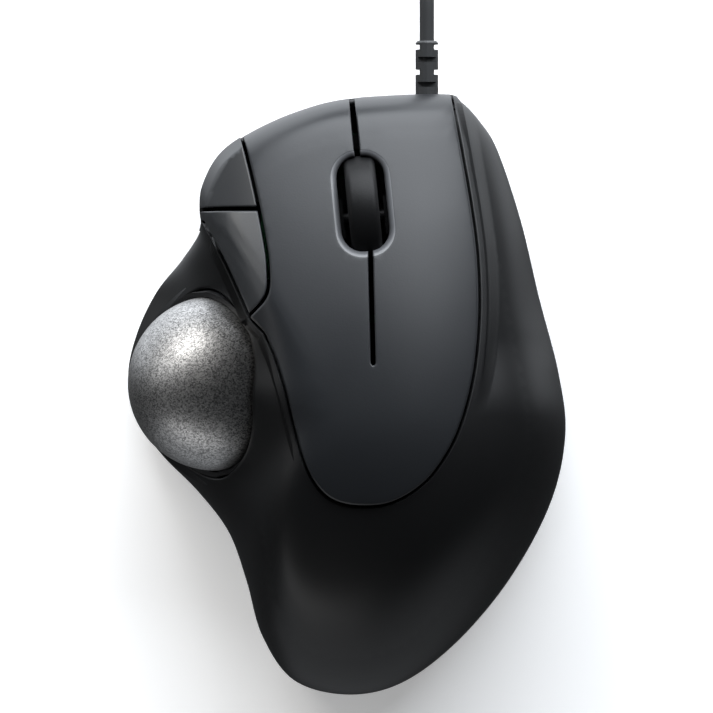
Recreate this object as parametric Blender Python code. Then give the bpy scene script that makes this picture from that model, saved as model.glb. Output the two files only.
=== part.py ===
"""Trackball mouse for the right hand: a black shell with a thumb ball, two flexing keys, a wheel and two side buttons."""

import math

import bmesh
import bpy
import numpy as np
from mathutils import Matrix, Vector

MM = 0.001

# Outside shape. Each station: x, y, height of the rim, width of the roll-over at the rim, share of flat thumb face.
STATIONS = (
    (20.0, 62.3, 15.0, 8.0, 0.0),
    (0.8, 61.4, 15.0, 8.0, 0.0),
    (-10.5, 58.6, 15.5, 8.0, 0.0),
    (-20.5, 54.0, 16.5, 8.0, 0.0),
    (-26.6, 49.5, 17.5, 8.0, 0.0),
    (-30.0, 43.2, 18.0, 9.0, 0.0),
    (-30.5, 38.5, 17.5, 11.0, 0.0),
    (-30.4, 34.0, 15.0, 15.0, 0.3),
    (-34.2, 28.1, 11.0, 22.0, 0.7),
    (-39.5, 21.5, 9.0, 26.0, 1.0),
    (-43.6, 13.0, 8.0, 28.5, 1.0),
    (-45.5, 4.0, 8.0, 28.5, 1.0),
    (-43.6, -5.0, 8.0, 28.5, 1.0),
    (-38.4, -12.5, 8.5, 26.0, 0.9),
    (-31.0, -20.0, 9.0, 23.0, 0.6),
    (-24.6, -28.4, 9.0, 19.0, 0.2),
    (-20.9, -38.4, 9.0, 17.0, 0.0),
    (-17.6, -50.0, 8.5, 18.0, 0.0),
    (-11.0, -59.3, 8.0, 22.0, 0.0),
    (0.2, -62.3, 8.0, 24.0, 0.0),
    (11.5, -59.8, 8.0, 24.0, 0.0),
    (23.0, -51.2, 8.0, 22.0, 0.0),
    (34.0, -38.0, 8.0, 18.0, 0.0),
    (42.3, -22.5, 8.5, 14.0, 0.0),
    (45.4, -8.3, 9.0, 11.0, 0.0),
    (44.0, 4.5, 9.5, 10.0, 0.0),
    (40.0, 20.0, 10.0, 10.0, 0.0),
    (36.0, 36.5, 11.5, 9.0, 0.0),
    (31.2, 50.8, 13.0, 9.0, 0.0),
    (27.5, 56.8, 13.5, 8.0, 0.0),
    (23.6, 60.8, 14.5, 8.0, 0.0),
)
HUB = (2.0, -2.0)  # the rings of the shell run round this point
AROUND = 64
RINGS = 13
ROUNDNESS = 2.3
FACE_BLEND = 0.35
CROWN = 49.2
CROWN_Y = -8.0
CROWN_X = 3.0
SHELL = 2.0
SEAM_Z = 3.2
TUCK = 1.5

# Edge of the key plate, right side first, then the rear end and the left side.
PLATE_RIGHT = (
    (21.6, 62.0),
    (23.6, 50.4),
    (25.6, 38.2),
    (26.8, 27.8),
    (27.0, 15.9),
    (25.7, 3.7),
    (22.6, -7.2),
    (18.2, -14.9),
    (13.9, -19.1),
    (8.7, -21.8),
)
PLATE_LEFT = (
    (3.4, -22.4),
    (-1.2, -21.8),
    (-4.5, -20.0),
    (-7.1, -16.7),
    (-9.1, -12.1),
    (-10.8, -5.8),
    (-12.4, 0.8),
    (-14.4, 7.1),
    (-16.7, 12.7),
)
PLATE_SHOULDER = (
    (-16.2, 20.5),
    (-15.9, 26.4),
    (-16.6, 31.8),
    (-18.0, 39.0),
    (-19.6, 46.0),
    (-21.6, 53.6),
)
PLATE_RAISE = 0.9
PLATE_SKIN = 1.8
PLATE_LOW = 16.0  # the keys' front edge ends at this height
GAP = 0.4
KEY_TRAVEL = 0.8  # how far the front edge of a key may sink

BUTTON_TIP = (-20.0, 16.0)
SIDE_GAP_Y = 38.2
BUTTON_LOW = 17.0
SIDE_CLEAR = 0.9

FLEX_Y = 6.8  # the keys bend about this line
NOTCH = ((0.6, 64.0), (2.3, 48.0))
SLIT = ((4.8, 31.0), (5.4, FLEX_Y - 0.6))
SLIT_WIDTH = 0.95
SLOT_LEAN = math.radians(5.6)
SLOT_CENTRE = (3.3, 39.2)
SLOT_SIZE = (9.8, 20.2)

BALL_CENTRE = (-27.1, 2.5, 22.4)
BALL_RADIUS = 18.0
SOCKET_RADIUS = 19.7
CUP_INNER = 18.4
CUP_OUTER = 19.4
CUP_OPEN = Vector((-0.77, -0.10, 0.63)).normalized()
EJECT_RADIUS = 5.0
CUP_HOLE = 6.0

WHEEL_RADIUS = 12.5
WHEEL_WIDTH = 6.4
WHEEL_Z = 30.0
WHEEL_BACK = 2.6  # the axle lies square below the sloping slot, so behind its middle
BOARD_Z = 16.0
BOARD_THICK = 1.6
BASE_Z = 0.8
BASE_THICK = 2.0

CORD_RADIUS = 1.5
BOOT_RADIUS = 2.35
CORD_X = 16.6
CORD_Z = 9.5
BOOT_END = 73.5
COIL_CENTRE = (-5.05, 126.0)
COIL_MID = 18.5
COIL_HALF = 7.75
COIL_Z = 7.1
COIL_RISE = 6.1
PLUG_Y = 24.75  # the cord leaves the coil outside its outer turns
PLUG_Z = 4.3

AXLE_DIR = Vector((math.cos(SLOT_LEAN), math.sin(SLOT_LEAN), 0.0))
ROLL_DIR = Vector((-math.sin(SLOT_LEAN), math.cos(SLOT_LEAN), 0.0))
WHEEL_CENTRE = Vector((SLOT_CENTRE[0], SLOT_CENTRE[1], WHEEL_Z)) - ROLL_DIR * WHEEL_BACK


def clear_scene():
    for thing in list(bpy.data.objects):
        bpy.data.objects.remove(thing, do_unlink=True)


def material(name, colour, roughness, metallic=0.0):
    made = bpy.data.materials.get(name) or bpy.data.materials.new(name)
    made.use_nodes = True
    shader = made.node_tree.nodes["Principled BSDF"]
    shader.inputs["Base Color"].default_value = (*colour, 1.0)
    shader.inputs["Roughness"].default_value = roughness
    shader.inputs["Metallic"].default_value = metallic
    return made


def black_shell():
    return material("black shell", (0.012, 0.012, 0.013), 0.42)


def grey_key():
    return material("grey key", (0.12, 0.125, 0.13), 0.38)


def dark_plastic():
    return material("dark plastic", (0.03, 0.03, 0.032), 0.5)


def rubber():
    return material("black rubber", (0.015, 0.015, 0.015), 0.7)


def steel():
    return material("steel", (0.6, 0.6, 0.6), 0.3, 1.0)


def circuit_green():
    return material("circuit board green", (0.02, 0.12, 0.05), 0.5)


def white_plastic():
    return material("white plastic", (0.7, 0.7, 0.68), 0.4)


def catmull(points, steps, closed):
    """A smooth curve through the points, as rows of numbers."""
    rows = np.array(points, float)
    count = len(rows)
    if closed:
        ends = rows[np.arange(-1, count + 2) % count]
    else:
        first = 2 * rows[0] - rows[1]
        last = 2 * rows[-1] - rows[-2]
        ends = np.vstack([first, rows, last])
    out = []
    for i in range(len(ends) - 3):
        a, b, c, d = ends[i : i + 4]
        for k in range(steps):
            t = k / steps
            out.append(
                0.5
                * (2 * b + (c - a) * t + (2 * a - 5 * b + 4 * c - d) * t**2 + (3 * b - a - 3 * c + d) * t**3)
            )
    if not closed:
        out.append(rows[-1])
    return np.array(out)


def smoothstep(x, start, end):
    t = np.clip((x - start) / (end - start), 0.0, 1.0)
    return t * t * (3 - 2 * t)


def polar_outline():
    """The outline as angle, radius, rim height, roll width and flat share, ordered by angle round HUB."""
    curve = catmull(STATIONS, 16, True)
    dx = curve[:, 0] - HUB[0]
    dy = curve[:, 1] - HUB[1]
    angle = np.arctan2(dy, dx)
    order = np.argsort(angle)
    return angle[order], np.hypot(dx, dy)[order], curve[order, 2:]


OUTLINE_ANGLE, OUTLINE_RADIUS, OUTLINE_REST = polar_outline()


def outline_at(angle):
    """Radius, rim height, roll width and flat share at an angle."""
    wrapped = (np.asarray(angle) + math.pi) % (2 * math.pi) - math.pi
    values = [np.interp(wrapped, OUTLINE_ANGLE, OUTLINE_RADIUS, period=2 * math.pi)]
    for k in range(3):
        values.append(np.interp(wrapped, OUTLINE_ANGLE, OUTLINE_REST[:, k], period=2 * math.pi))
    return values


def crown_height(x, y):
    """Height of the shell away from its rim: a palm hump falling to the nose, the tail and the right wing."""
    ahead = np.maximum(y - CROWN_Y, 0.0)
    behind = np.maximum(CROWN_Y - y, 0.0)
    right = np.maximum(x - CROWN_X, 0.0)
    left = np.maximum(CROWN_X - x, 0.0)
    height = CROWN - 22.0 * (ahead / 70.0) ** 1.6 - 26.0 * (behind / 54.0) ** 2.0
    height = height - 20.0 * (right / 43.0) ** 1.9 - 11.0 * (left / 45.0) ** 2.0
    return height - wing_step(x, y)


PLATE_EDGE_Y = np.array([p[1] for p in PLATE_RIGHT])
PLATE_EDGE_X = np.array([p[0] for p in PLATE_RIGHT])


def wing_step(x, y):
    """The right wing lies a step below the plate; the step fades out towards the tail."""
    edge = np.interp(y, PLATE_EDGE_Y[::-1], PLATE_EDGE_X[::-1])
    return 2.4 * smoothstep(x - edge, 1.4, 4.4) * smoothstep(y, -4.0, 12.0)


def shell_height(x, y):
    """Height of the outside of the shell over a point inside the outline."""
    dx = np.asarray(x, float) - HUB[0]
    dy = np.asarray(y, float) - HUB[1]
    radius, rim, width, flat = outline_at(np.arctan2(dy, dx))
    t = np.maximum(radius - np.hypot(dx, dy), 0.0) / width
    round_t = np.minimum(t, 1.0)
    rounded = (1.0 - (1.0 - round_t) ** ROUNDNESS) ** (1.0 / ROUNDNESS)
    bend = 1.0 - (1.0 + FACE_BLEND - t) ** 2 / (4 * FACE_BLEND)
    faced = np.where(t < 1.0 - FACE_BLEND, t, np.where(t < 1.0 + FACE_BLEND, bend, 1.0))
    share = flat * faced + (1.0 - flat) * rounded
    return rim + (crown_height(x, y) - rim) * share


def height_at(x, y):
    return float(shell_height(x, y))


def finish(obj, mat, smooth=False):
    obj.data.materials.append(mat)
    if smooth:
        for face in obj.data.polygons:
            face.use_smooth = True
    return obj


def object_from(name, made, mat, smooth=False):
    """A mesh object in metres from a bmesh in millimetres."""
    bmesh.ops.recalc_face_normals(made, faces=made.faces)
    bmesh.ops.scale(made, vec=(MM, MM, MM), verts=made.verts)
    mesh = bpy.data.meshes.new(name)
    made.to_mesh(mesh)
    made.free()
    obj = bpy.data.objects.new(name, mesh)
    bpy.context.scene.collection.objects.link(obj)
    return finish(obj, mat, smooth)


def helper(obj):
    obj.hide_render = True
    obj.display_type = "WIRE"
    return obj


def box_mesh(size, centre, turn=None):
    made = bmesh.new()
    bmesh.ops.create_cube(made, size=1.0)
    bmesh.ops.scale(made, vec=size, verts=made.verts)
    place = Matrix.Translation(Vector(centre)) @ (turn.to_4x4() if turn else Matrix.Identity(4))
    bmesh.ops.transform(made, matrix=place, verts=made.verts)
    return made


def rod_mesh(start, end, radius, sides=20, end_radius=None):
    """A round bar or cone between two points."""
    start = Vector(start)
    end = Vector(end)
    made = bmesh.new()
    along = end - start
    bmesh.ops.create_cone(
        made,
        cap_ends=True,
        segments=sides,
        radius1=radius,
        radius2=radius if end_radius is None else end_radius,
        depth=along.length,
    )
    turn = Vector((0, 0, 1)).rotation_difference(along.normalized()).to_matrix().to_4x4()
    bmesh.ops.transform(made, matrix=Matrix.Translation((start + end) / 2) @ turn, verts=made.verts)
    return made


def prism_mesh(points, low, high):
    """An upright prism over a closed outline."""
    made = bmesh.new()
    base = [made.verts.new((p[0], p[1], low)) for p in points]
    face = made.faces.new(base)
    grown = bmesh.ops.extrude_face_region(made, geom=[face])
    up = [v for v in grown["geom"] if isinstance(v, bmesh.types.BMVert)]
    bmesh.ops.translate(made, verts=up, vec=(0, 0, high - low))
    return made


def turned_mesh(profile, centre, axis=(0, 0, 1), steps=32):
    """A solid of revolution from (radius, height) points, first and last on the axis or all clear of it."""
    made = bmesh.new()
    verts = [made.verts.new((max(r, 0.0), 0, h)) for r, h in profile]
    edges = [made.edges.new((verts[i], verts[i + 1])) for i in range(len(verts) - 1)]
    if profile[0][0] > 0:
        edges.append(made.edges.new((verts[-1], verts[0])))
    bmesh.ops.spin(
        made,
        geom=verts + edges,
        cent=(0, 0, 0),
        axis=(0, 0, 1),
        angle=2 * math.pi,
        steps=steps,
        use_merge=True,
    )
    bmesh.ops.remove_doubles(made, verts=made.verts, dist=1e-4)
    turn = Vector((0, 0, 1)).rotation_difference(Vector(axis).normalized()).to_matrix().to_4x4()
    bmesh.ops.transform(made, matrix=Matrix.Translation(Vector(centre)) @ turn, verts=made.verts)
    return made


def boolean(obj, made, operation):
    """Cuts the shape from the object, joins it on, or keeps what they share."""
    other = helper(object_from(f"{obj.name} {operation.lower()}", made, black_shell()))
    step = obj.modifiers.new(operation.title(), "BOOLEAN")
    step.operation = operation
    step.solver = "EXACT"
    step.object = other
    return other


def cut(obj, made):
    return boolean(obj, made, "DIFFERENCE")


def join(obj, made):
    return boolean(obj, made, "UNION")


def keep(obj, made):
    return boolean(obj, made, "INTERSECT")


def move_origin(obj, point):
    """Moves the object's origin to a point in millimetres and leaves its shape where it is."""
    shift = Vector(point) * MM
    obj.data.transform(Matrix.Translation(-shift))
    obj.location = shift
    return obj


def skin_mesh(raised, thick, low):
    """The shell's skin as a closed wall: rings round HUB from the middle to the rim, then a wall down to a height."""
    angles = np.linspace(0.0, 2 * math.pi, AROUND, endpoint=False)
    radius, rim, width, _ = outline_at(angles)
    spread = np.linspace(0.0, 1.0, RINGS + 1)[1:]
    made = bmesh.new()
    top = made.verts.new((HUB[0], HUB[1], height_at(*HUB) + raised))
    rings = []
    for share in spread:
        # The rings crowd together towards the rim, where the skin turns down.
        reach = radius * (1.0 - (1.0 - share) ** 1.5)
        x = HUB[0] + reach * np.cos(angles)
        y = HUB[1] + reach * np.sin(angles)
        z = shell_height(x, y) + raised
        rings.append([made.verts.new(p) for p in zip(x, y, z)])
    for share in (0.5, 1.0):
        reach = radius - TUCK * share
        x = HUB[0] + reach * np.cos(angles)
        y = HUB[1] + reach * np.sin(angles)
        z = rim + (low - rim) * share
        rings.append([made.verts.new(p) for p in zip(x, y, z)])
    for k in range(AROUND):
        after = (k + 1) % AROUND
        made.faces.new((top, rings[0][k], rings[0][after]))
        for inner, outer in zip(rings, rings[1:]):
            made.faces.new((inner[k], outer[k], outer[after], inner[after]))
    bmesh.ops.recalc_face_normals(made, faces=made.faces)
    made.normal_update()
    offset_inside(made, thick, low)
    return made


def offset_inside(made, thick, low):
    """Gives an open skin a second face inside it and closes the rim flat at its lowest height."""
    outer = list(made.verts)
    inside = {}
    for vert in outer:
        point = vert.co - vert.normal * thick
        if abs(vert.co.z - low) < 1e-6:
            flat = Vector((vert.normal.x, vert.normal.y, 0.0)).normalized()
            point = vert.co - flat * thick
        inside[vert] = made.verts.new(point)
    border = [edge for edge in made.edges if edge.is_boundary]
    for face in list(made.faces):
        made.faces.new([inside[v] for v in reversed(face.verts)])
    for edge in border:
        a, b = edge.verts
        made.faces.new((a, b, inside[b], inside[a]))


def skin_object(name, raised, thick, low, mat):
    return object_from(name, skin_mesh(raised, thick, low), mat, True)


def grown(points, amount):
    """The outline moved outwards, or inwards for a negative amount."""
    rows = np.array(points, float)[:, :2]
    area = np.sum(rows[:, 0] * np.roll(rows[:, 1], -1) - np.roll(rows[:, 0], -1) * rows[:, 1])
    tangent = np.roll(rows, -1, axis=0) - np.roll(rows, 1, axis=0)
    tangent = tangent / np.linalg.norm(tangent, axis=1)[:, None]
    outward = np.stack([tangent[:, 1], -tangent[:, 0]], axis=1) * np.sign(area)
    return rows + outward * amount


def plate_curve():
    """The whole edge of the key plate, carried on past the nose."""
    right = catmull(PLATE_RIGHT + PLATE_LEFT, 3, False)
    left = catmull((BUTTON_TIP,) + PLATE_SHOULDER, 3, False)
    front = [(-23.5, 62.0), (-22.5, 70.0), (21.2, 70.0)]
    return np.vstack([right, left, front])


def key_outline(side):
    """The ground of one key: side is -1 for the left one and 1 for the right one."""
    edge = catmull(PLATE_RIGHT + PLATE_LEFT, 3, False)
    half = (SLIT_WIDTH - GAP) / 2 * side
    inner = [(x + half, y) for x, y in ((NOTCH[0][0], 70.0), NOTCH[1], SLIT[0], (SLIT[1][0], FLEX_Y))]
    right, left = flex_ends(edge)
    if side > 0:
        rows = [tuple(p) for p in edge if p[0] > 0 and p[1] > FLEX_Y + 0.6]
        return [(21.2, 70.0)] + rows + [right] + inner[::-1]
    rows = [tuple(p) for p in edge if p[0] < 0 and p[1] > FLEX_Y + 0.6]
    shoulder = [tuple(p) for p in catmull((BUTTON_TIP,) + PLATE_SHOULDER, 3, False)]
    return [left] + rows + shoulder + [(-23.5, 62.0), (-22.5, 70.0)] + inner


def flex_ends(edge):
    """Where the flex line meets the right and the left edge of the plate."""
    ends = []
    for a, b in zip(edge, edge[1:]):
        if (a[1] - FLEX_Y) * (b[1] - FLEX_Y) < 0:
            share = (FLEX_Y - a[1]) / (b[1] - a[1])
            ends.append((float(a[0] + share * (b[0] - a[0])), FLEX_Y))
    return ends


def cover_outline():
    edge = catmull(PLATE_RIGHT + PLATE_LEFT, 3, False)
    right, left = flex_ends(edge)
    return [right] + [tuple(p) for p in edge if p[1] < FLEX_Y - 0.6] + [left]


def slot_mesh(grow, low, high):
    size = (SLOT_SIZE[0] + 2 * grow, SLOT_SIZE[1] + 2 * grow, high - low)
    turn = Matrix.Rotation(SLOT_LEAN, 3, "Z")
    made = box_mesh(size, (*SLOT_CENTRE, (low + high) / 2), turn)
    upright = [e for e in made.edges if abs(e.verts[0].co.z - e.verts[1].co.z) > 1.0]
    bmesh.ops.bevel(made, geom=upright, offset=1.6 + grow, segments=3, profile=0.5, affect="EDGES", material=-1)
    return made


def side_zone(amount):
    """The ground of both side buttons, from the plate's shoulder out past the shell."""
    edge = catmull((BUTTON_TIP,) + PLATE_SHOULDER, 3, False)
    outer = [(-24.5, 60.0), (-34.0, 54.0), (-36.0, 38.0)]
    rear = [(-29.6, 35.6), (-24.8, 26.6)]
    return grown(np.vstack([edge, outer, rear]), amount)


def post(top, x, y, radius=2.0):
    return rod_mesh((x, y, BASE_Z + BASE_THICK - 0.5), (x, y, top), radius, 12)


def make_upper_case():
    case = skin_object("upper_case", 0.0, SHELL, SEAM_Z, black_shell())
    cut(case, prism_mesh(grown(plate_curve(), GAP / 2), PLATE_LOW - KEY_TRAVEL, 70.0))
    cut(case, prism_mesh(side_zone(0.15), BUTTON_LOW, 70.0))
    cut(case, ball_mesh(SOCKET_RADIUS, 3))
    front_hole = rod_mesh((CORD_X, 55.0, CORD_Z), (CORD_X, 66.0, CORD_Z), BOOT_RADIUS + 0.3, 20)
    cut(case, front_hole)
    for x, y in SCREWS:
        join(case, rod_mesh((x, y, SEAM_Z), (x, y, boss_top(x, y)), BOSS_RADIUS, 14))
        cut(case, rod_mesh((x, y, SEAM_Z - 1.0), (x, y, SEAM_Z + 8.0), 1.3, 12))
    return case


def boss_top(x, y):
    """The highest that a screw boss may reach and still end inside the skin all the way round."""
    turns = np.linspace(0.0, 2 * math.pi, 12, endpoint=False)
    around = shell_height(x + BOSS_RADIUS * np.cos(turns), y + BOSS_RADIUS * np.sin(turns))
    return float(around.min()) - 0.8


def ball_mesh(radius, detail):
    made = bmesh.new()
    bmesh.ops.create_icosphere(made, subdivisions=detail, radius=radius)
    bmesh.ops.translate(made, verts=made.verts, vec=BALL_CENTRE)
    return made


def make_key(name, side):
    """One flexing key: side is -1 for the left one and 1 for the right one."""
    key = skin_object(name, PLATE_RAISE, PLATE_SKIN, SEAM_Z, grey_key())
    keep(key, prism_mesh(grown(key_outline(side), -GAP / 2), PLATE_LOW + GAP, 70.0))
    cut(key, slot_mesh(0.0, 5.0, 70.0))
    x, y = SWITCH_SPOTS[side]
    join(key, box_mesh((4.0, 4.0, stem_top(x, y) - STEM_LOW), (x, y, (stem_top(x, y) + STEM_LOW) / 2)))
    return move_origin(key, (0.0, FLEX_Y, height_at(0.0, FLEX_Y)))


def stem_top(x, y):
    return height_at(x, y) + PLATE_RAISE - 0.8


def make_top_cover():
    cover = skin_object("top_cover", PLATE_RAISE, PLATE_SKIN, SEAM_Z, grey_key())
    keep(cover, prism_mesh(grown(cover_outline(), -GAP / 2), PLATE_LOW + GAP, 70.0))
    return cover


def make_side_button(name, low_y, high_y, peg):
    button = skin_object(name, PLATE_RAISE * 0.5, SHELL, SEAM_Z, grey_key())
    zone = side_zone(-0.6)
    keep(button, prism_mesh(zone, BUTTON_LOW + GAP, 70.0))
    middle = (low_y + high_y) / 2
    keep(button, box_mesh((60.0, high_y - low_y, 80.0), (-25.0, middle, 40.0)))
    start, end, y, low, high = peg
    join(button, box_mesh((end - start, 3.0, high - low), ((start + end) / 2, y, (low + high) / 2)))
    return button


def make_ball():
    ball = object_from("ball", ball_mesh(BALL_RADIUS, 4), material("silver ball", (0.5, 0.51, 0.52), 0.2, 0.6), True)
    return move_origin(ball, BALL_CENTRE)


def support_directions():
    """Where the three beads bear on the ball, spread round the back of the socket."""
    back = -CUP_OPEN
    down = (Vector((0, 0, -1)) - back * back.dot(Vector((0, 0, -1)))).normalized()
    across = back.cross(down)
    lean = math.radians(50.0)
    for turn in (60.0, 180.0, 300.0):
        side = down * math.cos(math.radians(turn)) + across * math.sin(math.radians(turn))
        yield back * math.cos(lean) + side * math.sin(lean)


def make_cup():
    cup = object_from("ball_cup", ball_mesh(CUP_OUTER, 3), dark_plastic(), True)
    cut(cup, ball_mesh(CUP_INNER, 3))
    centre = Vector(BALL_CENTRE)
    reach = 30.0
    turn = Vector((0, 0, 1)).rotation_difference(CUP_OPEN).to_matrix()
    cut(cup, box_mesh((60.0, 60.0, reach), centre + CUP_OPEN * (2.0 + reach / 2), turn))
    cut(cup, rod_mesh(centre, centre - Vector((0, 0, 30.0)), CUP_HOLE, 24))
    cut(cup, rod_mesh(centre, centre + SENSOR_DIR * 30.0, 3.0, 16))
    for way in support_directions():
        cut(cup, rod_mesh(centre + way * 15.0, centre + way * 25.0, BEAD_RADIUS + 0.3, 12))
    return cup


def make_beads():
    centre = Vector(BALL_CENTRE)
    for number, way in enumerate(support_directions(), 1):
        made = bmesh.new()
        bmesh.ops.create_icosphere(made, subdivisions=2, radius=BEAD_RADIUS)
        bmesh.ops.translate(made, verts=made.verts, vec=centre + way * (BALL_RADIUS + 0.2 + BEAD_RADIUS))
        object_from(f"support_bead_{number}", made, white_plastic(), True)


def sensor_box(name, start, end, across, along, mat):
    """A flat piece of the sensor, square to the line from the ball's centre."""
    turn = Matrix.Rotation(math.atan2(SENSOR_DIR.x, SENSOR_DIR.z), 3, "Y")
    middle = Vector(BALL_CENTRE) + SENSOR_DIR * ((start + end) / 2)
    return object_from(name, box_mesh((along, across, end - start), middle, turn), mat)


def make_sensor():
    centre = Vector(BALL_CENTRE)
    lens = rod_mesh(centre + SENSOR_DIR * 20.4, centre + SENSOR_DIR * 21.6, 2.6, 20)
    object_from("sensor_lens", lens, white_plastic(), True)
    sensor_box("sensor_chip", 21.9, 23.5, 8.0, 8.0, dark_plastic())
    sensor_box("sensor_board", 23.8, 25.0, 14.0, 10.2, circuit_green())


SCREWS = ((27.0, 46.0), (35.5, -11.0), (-10.0, -46.0), (13.0, -46.0))
FEET = ((18.0, 49.0, 4.5), (-17.0, 44.0, 4.5), (30.0, -24.0, 4.5), (1.0, -53.0, 4.5), (-38.0, 2.0, 3.2))
POSTS = ((-10.0, 51.0), (17.0, 37.0), (17.0, 18.0), (-10.0, 22.0))
SWITCH_SPOTS = {-1: (-8.0, 46.0), 1: (15.5, 47.0)}
STEM_LOW = 25.6
BOSS_RADIUS = 3.0
BEAD_RADIUS = 1.25
SENSOR_DIR = Vector((0.8, 0.0, -0.6))
PILLAR = (6.0, -2.0)
SIDE_BOARD_X = -16.8


def make_base_plate():
    angles = np.linspace(0.0, 2 * math.pi, AROUND, endpoint=False)
    reach = outline_at(angles)[0] - TUCK - 0.3
    ring = list(zip(HUB[0] + reach * np.cos(angles), HUB[1] + reach * np.sin(angles)))
    base = object_from("base_plate", prism_mesh(ring, BASE_Z, BASE_Z + BASE_THICK), black_shell())
    eject = (BALL_CENTRE[0], BALL_CENTRE[1])
    cut(base, rod_mesh((*eject, -5.0), (*eject, 10.0), EJECT_RADIUS, 24))
    for x, y in SCREWS:
        cut(base, rod_mesh((x, y, -5.0), (x, y, 10.0), 1.4, 12))
        cut(base, rod_mesh((x, y, -5.0), (x, y, BASE_Z + 1.3), 2.6, 16))
    for x, y in POSTS:
        join(base, post(BOARD_Z - 0.3, x, y))
    join(base, post(height_at(*PILLAR) + PLATE_RAISE - PLATE_SKIN - 0.5, *PILLAR, 2.6))
    for y in (27.0, 45.0):
        join(base, box_mesh((3.0, 3.0, 9.7), (SIDE_BOARD_X, y, BASE_Z + BASE_THICK - 0.5 + 4.85)))
    return base


def make_screws():
    for number, (x, y) in enumerate(SCREWS, 1):
        profile = [(0.0, 0.0), (2.2, 0.0), (2.2, 0.9), (1.0, 1.1), (1.0, 9.0), (0.0, 9.0)]
        object_from(f"screw_{number}", turned_mesh(profile, (x, y, BASE_Z + 0.1), steps=12), steel())


def make_feet():
    for number, (x, y, radius) in enumerate(FEET, 1):
        object_from(f"foot_{number}", rod_mesh((x, y, 0.0), (x, y, 0.5), radius, 24), rubber())


def along_wheel(across, roll, z):
    spot = WHEEL_CENTRE + AXLE_DIR * across + ROLL_DIR * roll
    return Vector((spot.x, spot.y, z))


def wheel_box(size, across, roll, low):
    """A box lined up with the wheel: size across the axle, along the roll and upwards, standing at low."""
    turn = Matrix.Rotation(SLOT_LEAN, 3, "Z")
    return box_mesh(size, along_wheel(across, roll, low + size[2] / 2), turn)


def make_wheel():
    half = WHEEL_WIDTH / 2
    tyre = [
        (10.2, -half),
        (WHEEL_RADIUS - 1.2, -half),
        (WHEEL_RADIUS - 0.3, -half + 1.0),
        (WHEEL_RADIUS, 0.0),
        (WHEEL_RADIUS - 0.3, half - 1.0),
        (WHEEL_RADIUS - 1.2, half),
        (10.2, half),
    ]
    object_from("wheel_tyre", turned_mesh(tyre, WHEEL_CENTRE, AXLE_DIR, 36), rubber(), True)
    hub = [(1.5, -half + 0.3), (9.9, -half + 0.3), (9.9, half - 0.3), (1.5, half - 0.3)]
    object_from("wheel_hub", turned_mesh(hub, WHEEL_CENTRE, AXLE_DIR, 28), dark_plastic())
    axle = rod_mesh(along_wheel(-6.6, 0, WHEEL_Z), along_wheel(9.0, 0, WHEEL_Z), 1.2, 14)
    object_from("wheel_axle", axle, steel())


def make_carrier():
    carrier = object_from("wheel_carrier", wheel_box((11.8, 26.4, 2.0), 0, 0, 18.2), dark_plastic())
    cut(carrier, wheel_box((8.4, 22.0, 6.0), 0, 0, 16.0))
    for side in (-1, 1):
        join(carrier, wheel_box((1.7, 8.0, 14.4), side * 5.05, 0, 18.6))
    join(carrier, wheel_box((6.0, 1.3, 5.6), 0, -12.6, 18.6))
    join(carrier, wheel_box((6.0, 8.0, 1.6), 0, -16.1, 22.6))
    cut(carrier, rod_mesh(along_wheel(-9, 0, WHEEL_Z), along_wheel(9, 0, WHEEL_Z), 1.5, 14))
    encoder = object_from("wheel_encoder", wheel_box((2.2, 8.0, 7.2), 7.3, 0, 25.6), dark_plastic())
    cut(encoder, rod_mesh(along_wheel(4, 0, WHEEL_Z), along_wheel(12, 0, WHEEL_Z), 1.5, 14))


def make_key_board():
    board = object_from("key_board", box_mesh((31.0, 39.0, BOARD_THICK), (3.5, 34.5, 16.8)), circuit_green())
    cut(board, wheel_box((8.4, 17.0, 8.0), 0, 0, 13.0))
    chip = box_mesh((7.0, 7.0, 1.2), (14.8, 26.0, 18.5))
    object_from("controller_chip", chip, dark_plastic())
    plug = box_mesh((8.0, 3.0, 4.0), (3.0, 52.3, 19.9))
    object_from("cord_connector", plug, white_plastic())


def make_switches():
    floor = BOARD_Z + BOARD_THICK + 0.3
    for side, word in ((-1, "left"), (1, "right")):
        x, y = SWITCH_SPOTS[side]
        body = object_from(f"{word}_switch", box_mesh((5.8, 12.8, 6.5), (x, y, floor + 3.25)), dark_plastic())
        cut(body, box_mesh((2.2, 3.8, 4.0), (x, y, floor + 6.5)))
        object_from(f"{word}_plunger", box_mesh((1.6, 3.2, 1.8), (x, y, floor + 6.5)), white_plastic())
    spot = along_wheel(0, -17.0, floor)
    middle = object_from("middle_switch", box_mesh((6.0, 6.0, 3.6), (spot.x, spot.y, floor + 1.8)), dark_plastic())
    join(middle, rod_mesh((spot.x, spot.y, floor + 3.0), (spot.x, spot.y, floor + 4.0), 1.6, 14))


def make_side_parts():
    board = box_mesh((1.6, 24.0, 15.0), (SIDE_BOARD_X, 36.0, 19.8))
    object_from("side_board", board, circuit_green())
    face = SIDE_BOARD_X - 0.8 - 0.3
    for name, y in (("forward_switch", 43.0), ("back_switch", 29.0)):
        body = object_from(name, box_mesh((3.4, 6.0, 6.0), (face - 1.7, y, 20.5)), dark_plastic())
        join(body, rod_mesh((face - 3.0, y, 20.5), (face - 4.2, y, 20.5), 1.6, 14))


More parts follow.
